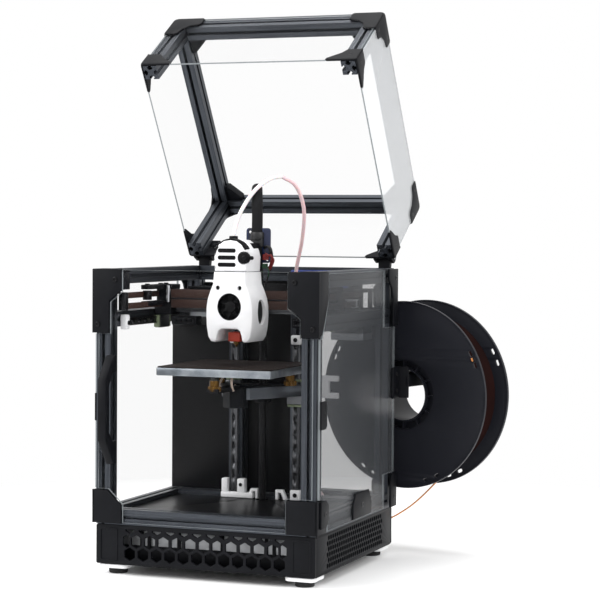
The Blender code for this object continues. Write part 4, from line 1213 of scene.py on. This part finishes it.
ROOF = 403.0
AWAY = {1: "", -1: "-"}
OUTER = FACE + GAP + 2.2
gusset = [
    (0, 4.5), (1.3, 1.3), (4.5, 0), (33, 0), (35, 2), (35, 12), (32.5, 15), (24, 17), (17, 24), (15, 32.5),
    (12, 35), (2, 35), (0, 33),
]
wing = [(0, 3.0), (0.9, 0.9), (3.0, 0), (32, 0), (34, 1.5), (33, 4.5), (20, 15.0), (17.0, 20.0), (15, 22), (0, 22)]
brackets, bracket_screws = [], []
for _, sx in SIDES:
    for sy in (-1, 1):
        across = [(sx * (OUTER - a), sy * (OUTER - b)) for a, b in gusset]
        brackets.append(plate("bracket_top", [across[:: sx * sy]], 2.4, "XY", (0, 0, ROOF - 1.2), 1.0))
        for name, shape, foot, rise in (("bracket", gusset, ROOF, -1), ("end", wing, 300.6, 1)):
            front = [(sx * (OUTER - a), foot + rise * b) for a, b in shape][:: rise * sx]
            brackets.append(plate(f"{name}_front", [front], 2.4, "XZ", (0, sy * (OUTER - 1.2), 0), 1.0))
            flank = [(sy * (OUTER - a), foot + rise * b) for a, b in shape][:: rise * sy]
            brackets.append(plate(f"{name}_flank", [flank], 2.4, "YZ", (sx * (OUTER - 1.2), 0, 0), 1.0))
        inner_corner = [(0, 0), (17, 0), (17, 3.5), (3.5, 17), (0, 17)]
        corner = [(sx * (99.8 - a), sy * (99.8 - b)) for a, b in inner_corner]
        brackets.append(plate("inner_gusset", [corner[:: sx * sy]], 9.0, "XY", (0, 0, 393.0), 0.6))
        wall_x, wall_y = sx * (OUTER - 0.9), sy * (OUTER - 0.9)
        heads = [
            (wall_x, sy * (OUTER - 10), 311.0, f"{AWAY[sx]}X"),
            (sx * (OUTER - 10), wall_y, 311.0, f"{AWAY[sy]}Y"),
        ]
        for a, b in ((26.0, 7.5), (7.5, 26.0)):
            heads.append((sx * (OUTER - a), sy * (OUTER - b), ROOF - 0.9, "Z"))
            heads.append((wall_x, sy * (OUTER - a), ROOF - b, f"{AWAY[sx]}X"))
        bracket_screws += [socket_screw("cover_screw", *head, 2.4, 0.9) for head in heads]
fitted(opened(joined("cover_brackets", brackets)), black_print, "lid")
fitted(opened(joined("cover_screws", bracket_screws)), steel_black, "lid")

# Each hinge has a knuckle and leg on the frame, and two arms on the cover that share a steel pin with it.
arm = [
    (117.8, 302.0), (119.5, 302.0), (126.6, 306.5), (127.4, 310.4), (126.4, 313.6), (121.5, 322.0), (117.8, 324.0),
]
leg = [
    (115.6, 286.3), (124.0, 286.3), (124.4, 300.0), (126.0, 306.0), (127.0, 309.0), (126.8, 311.6), (125.2, 314.2),
    (122.6, 314.9), (120.0, 314.2), (118.4, 312.0), (118.1, 308.0), (118.1, 299.0), (115.6, 298.6),
]
arms, pins, knuckles = [], [], []
for side, sign in SIDES:
    x = sign * 103.0
    for offset in (-8.6, 8.6):
        arms.append(plate("hinge_arm", [arm], 3.4, "YZ", (x + offset, 0, 0), 0.5))
    arms.append(block("hinge_pad", (x - 10.2, x + 10.2), (117.7, 120.4), (316.0, 334.0), 0.8))
    pins.append(rod("hinge_pin", (x, HINGE_Y, HINGE_Z), 1.5, 21.6, "X", 0.2, 20))
    knuckles.append(plate("hinge_leg", [leg], 12.6, "YZ", (x, 0, 0), 0.6))
    knuckles.append(socket_screw("leg_screw", x, 124.0, 292.5, "Y", 2.6, 1.2))
fitted(opened(joined("cover_hinge_arms", arms)), black_print, "lid")
fitted(joined("cover_hinge_pins", pins), zinc, "lid")
lid_hinges = ["lid_hinge_left", "lid_hinge_right"]
fitted(joined("cover_hinge_knuckles", knuckles), black_print, "frame", lid_hinges)


# ------------------------------------------------------------ spool and holder
# An injection-moulded black reel holds a winding of copper filament, painted dark as painted shade inside the reel.
# It hangs by its bore on a printed peg that reaches back from a plate on the rear right post.
REEL_X, REEL_Y, REEL_Z = 122.7, 125.0, 166.9
REEL_TURN = -13
SPOOLED = Matrix.Translation(at(REEL_X, REEL_Y, REEL_Z)) @ Matrix.Rotation(math.radians(REEL_TURN), 4, "Z")
SPOOLED = SPOOLED @ Matrix.Translation(-at(0, 0, 0))


def spooled(piece):
    """Moves a piece from the frame's middle, where Y is the reel's axis, to the reel's place."""
    piece.data.transform(SPOOLED)
    return piece


def turned(name, profile, steps=120):
    """A closed profile of (radius, along) turned round the Y axis."""
    mesh = bpy.data.meshes.new(name)
    points = [at(radius, along, 0) - at(0, 0, 0) for radius, along in profile]
    count = len(points)
    mesh.from_pydata(points, [(k, (k + 1) % count) for k in range(count)], [])
    piece = bpy.data.objects.new(name, mesh)
    bpy.context.scene.collection.objects.link(piece)
    alone(piece)
    spin = piece.modifiers.new("turning", "SCREW")
    spin.axis = "Y"
    spin.steps = steps
    spin.render_steps = steps
    spin.use_merge_vertices = True
    spin.merge_threshold = 0.00001
    bpy.ops.object.modifier_apply(modifier=spin.name)
    piece.data.transform(Matrix.Translation(at(0, 0, 0)))
    sealed()
    bpy.ops.object.shade_smooth_by_angle(angle=math.radians(35))
    return piece


# The mould was spark eroded, which leaves a very fine matt grain.
moulded, tree, shader = surface("moulded_black_plastic", "#1C1D23", 0.4, Specular_IOR_Level=0.18)
patterned(tree, shader, "TexNoise", {"Scale": 700.0, "Detail": 2.0}, (0.12, 0.0001))
REEL_WIDTH, FLANGE = 52.0, 3.6
reel = []
for low, out_way in ((0.0, -1), (REEL_WIDTH - FLANGE, 1)):
    face_in, face_out = (low, low + FLANGE)[::out_way]
    disc = [hexagon(0, 0, 97.2, 160), hexagon(0, 0, 36.0, 96)]
    for angle in (22, 30, 151, 157, 238, 247, 288, 297):
        about = Matrix.Rotation(math.radians(angle), 2)
        slot = rounded_rectangle(90.6, 94.2, -3.4, 3.4, 1.7, 3)
        disc.append([tuple(about @ Vector(point)) for point in slot])
    reel.append(plate("flange", disc, 3.0, "XZ", (0, low + 1.8, 0), 0.1))
    rim = [
        (96.6, face_out), (98.1, face_out), (98.5, face_out - out_way * 0.4), (98.5, face_in + out_way * 0.4),
        (98.1, face_in), (96.6, face_in),
    ]
    reel.append(turned("rim", rim, 160))
    deep = face_out - out_way * 7.0
    mouth, floor_of_well = face_out - out_way * 0.3, deep - out_way * 1.2
    well = [(35.9, mouth), (37.2, mouth), (37.2, floor_of_well), (28.0, floor_of_well), (28.0, deep), (35.9, deep)]
    reel.append(turned("hub_well", well, 96))
    reel.append(turned("hub_lip", [(27.0, face_out), (28.4, face_out), (28.4, face_in), (27.0, face_in)], 96))
    for k in range(12):
        rib = block("rib", (28.2, 36.1), tuple(sorted((face_out - out_way * 1.0, deep))), (-0.6, 0.6), 0)
        rib.data.transform(turn_about(at(0, 0, 0), 30 * k, "Y"))
        reel.append(rib)
reel.append(turned("hub_tube", [(27.0, 3.0), (29.0, 3.0), (29.0, 49.0), (27.0, 49.0)], 96))
fitted(spooled(joined("reel", reel)), moulded, "spool", ["spool"])

# The strand is a smooth plastic with a coppery pigment in soft streaks.
strand, tree, shader = surface("copper_filament", "#C47A3A", 0.35)
place = add_node(tree, "TexCoord", {})
streaks = add_node(tree, "TexNoise", {"Scale": 160.0, "Detail": 3.0}, [("Vector", place.outputs["Object"])])
tinted(tree, shader, streaks.outputs[0], "#B4652A", "#DB9655")
# The layer on the reel is the same copper strand, painted nearly black with a red-brown tint: painted shade for the
# reel's shadow over it.
winding_painted_shade, tree, shader = surface("wound_filament", "#170503", 0.5, Specular_IOR_Level=0.06)
place = add_node(tree, "TexCoord", {})
layers = add_node(tree, "TexNoise", {"Scale": 45.0, "Detail": 3.0}, [("Vector", place.outputs["Object"])])
tinted(tree, shader, layers.outputs[0], "#0F0302", "#250805")
STRAND = 1.75
WOUND_LOW, WOUND_HIGH = 3.9, 48.1
scallops = [(38.0, WOUND_LOW), (38.0, WOUND_HIGH)]
for k in range(25, -1, -1):
    y = 4.2 + k * STRAND
    scallops += [(83.1, min(y + 0.8, WOUND_HIGH)), (84.0, y), (83.1, max(y - 0.8, WOUND_LOW))]
fitted(spooled(turned("winding", scallops, 120)), winding_painted_shade, "spool")
tail = [(76, 14, 38), (79, 9, 38.5), (82.5, 3, 38.5), (83, -0.4, 39.5), (82.5, -0.9, 42.0)]
fitted(spooled(tube("filament_end", tail, STRAND, 16, 2)), strand, "spool")

holder = [
    block("holder_plate", (97.0, 131.0), (118.1, 121.1), (164.0, 197.0), 1.0),
    block("holder_leg", (118.1, 121.1), (99.0, 121.0), (164.0, 197.0), 1.0),
]
peg_shape = [
    (-9, 175.7), (9, 175.7), (9, 184.5), (7.6, 188.4), (4.4, 190.3), (0, 190.7), (-4.4, 190.3), (-7.6, 188.4),
    (-9, 184.5),
]
hollow = [(-6, 178.4), (6, 178.4), (6, 184.6), (-6, 184.6)]
local_peg = [[(a, b - REEL_Z) for a, b in outline] for outline in (peg_shape, hollow)]
peg = spooled(plate("holder_peg", local_peg, 63.0, "XZ", (0, 26.0, 0), 0.7))
fitted(joined("spool_peg_and_plate", holder + [peg]), black_print, "frame", ["spool_holder"])
holder_screws = [socket_screw("holder_screw", 120.9, 108.0, z, "X", 2.7, 1.4) for z in (172.0, 189.0)]
fitted(joined("holder_screws", holder_screws), steel_black, "frame")


# -------------------------------------------------------------- tube and cords
# A PTFE tube guides the filament from an inlet on the back to the toolhead, and a woven sleeve carries the toolhead's
# wires. Both are held at both ends and arch over the gantry.
def ptfe(name, base):
    # PTFE is waxy and lets some light through, so the filament inside tints it.
    material, tree, shader = surface(name, base, 0.35, Subsurface_Weight=0.25, Subsurface_Scale=0.002)
    patterned(tree, shader, "TexNoise", {"Scale": 120.0, "Detail": 2.0}, (0.03, 0.0002))
    return material


TUBE_TOP = (26.5, 18, 393.4)
rising = [(-6, -30, 329.6), (-5, -29, 340), (-1, -21, 359), (8, -8, 379), (18.8, 5, 390.5), TUBE_TOP]
falling = [
    TUBE_TOP, (35, 36, 384), (37, 54, 361), (29, 71, 330), (18, 84, 300), (13, 90, 270), (12, 91, 230),
    (14, 91, 180), (20, 90, 130), (34, 86, 85), (58, 84, 50), (84, 92, 34), (98, 102, 31), (101, 111, 31),
]
TUBE = 4.0
rise = tube("ptfe_tube_rising", rising, TUBE, 40, 5)
rise.data.materials.append(ptfe("ptfe_clear", "#EDE6E8"))
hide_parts("bowden_tube")
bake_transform(rise)
fall = tube("ptfe_tube_falling", falling, TUBE, 96, 5)
fall.data.materials.append(ptfe("ptfe_pink", "#EFCFD2"))
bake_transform(fall)

# Braided nylon threads cross at a slant and take the light dully.
woven, tree, shader = surface("woven_nylon", "#131315", 0.85, Specular_IOR_Level=0.2)
braid = {"wave_type": "BANDS", "bands_direction": "DIAGONAL", "Scale": 260.0, "Distortion": 2.0, "Detail": 1.0}
patterned(tree, shader, "TexWave", braid, (0.4, 0.0005))
SLEEVE = 11.0
SLEEVE_TOP = (2, 12, 381)
up_route = [(14, -17, 330), (13, -14, 345), (11, -9, 362), (7, 0, 376), SLEEVE_TOP]
up = tube("sleeve_rising", up_route, SLEEVE, 24, 6)
up.data.materials.append(woven)
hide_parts("cable_sleeve")
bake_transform(up)
down_route = [
    SLEEVE_TOP, (-4, 26, 374), (-9, 40, 352), (-14, 52, 322), (-18, 64, 300), (-21, 74, 276), (-22, 78, 250),
]
down = tube("sleeve_falling", down_route, SLEEVE, 36, 6)
down.data.materials.append(woven)
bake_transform(down)

feed = [
    (184.5, 137.4, 103.1), (166, 141, 86), (148, 139, 66), (133, 133, 51), (119, 125.5, 40.5), (108, 119.8, 34.5),
    (101, 116.4, 31.5),
]
fitted(tube("filament_feed", feed, STRAND, 40, 4), strand, "frame", ["filament"])
fittings = [
    rod("inlet_collar", (101, 113.6, 31.0), 4.6, 4.0, "Y", 0.5, 24),
    rod("toolhead_collar", (-6, -30, 330.4), 4.4, 5.0, "Z", 0.8, 24),
]
fitted(fittings[0], black_print, "frame")
fitted(fittings[1], black_print, "toolhead")
fitted(block("sleeve_anchor", (-30, -14), (63.6, 86.0), (236, 250.5), 1.0), black_print, "frame")


# ------------------------------------------------------------------ controller
# The control board stands on spacers on the back of the black middle sheet, and shows through the clear back
# sheet. It has five motor drivers with heat sinks, a row of headers, a processor and one capacitor.
green_mask = circuit_board("green_solder_mask", 0.35, 90.0, "#12482C", "#17573A", "#2C7B50")
control = plate("control_board", [rounded_rectangle(-92, 8, 120, 200, 3)], 1.6, "XZ", (0, 71.0, 0), 0.2)
fitted(control, green_mask, "frame")
parts_black, parts_metal = [], []
for k in range(5):
    parts_black.append(block("driver", (-84 + k * 17, -72 + k * 17), (72.0, 80.0), (168, 184), 0.4))
    parts_metal.append(block("driver_sink", (-82.5 + k * 17, -73.5 + k * 17), (80.0, 88.0), (171, 181), 0.4))
for k in range(7):
    parts_black.append(block("header", (-88 + k * 13, -79 + k * 13), (72.0, 79.0), (122, 128), 0.4))
parts_black.append(block("processor", (-52, -34), (72.0, 73.6), (140, 158), 0.3))
parts_metal.append(rod("capacitor", (-10, 77.0, 146), 5.0, 10.0, "Y", 0.6, 24))
for x in (-88, 4):
    for z in (124, 196):
        parts_metal.append(rod("board_spacer", (x, 66.8, z), 2.6, 6.6, "Y", 0.3, 6))
fitted(joined("board_parts_black", parts_black), moulded, "frame")
fitted(joined("board_parts_metal", parts_metal), zinc, "frame")
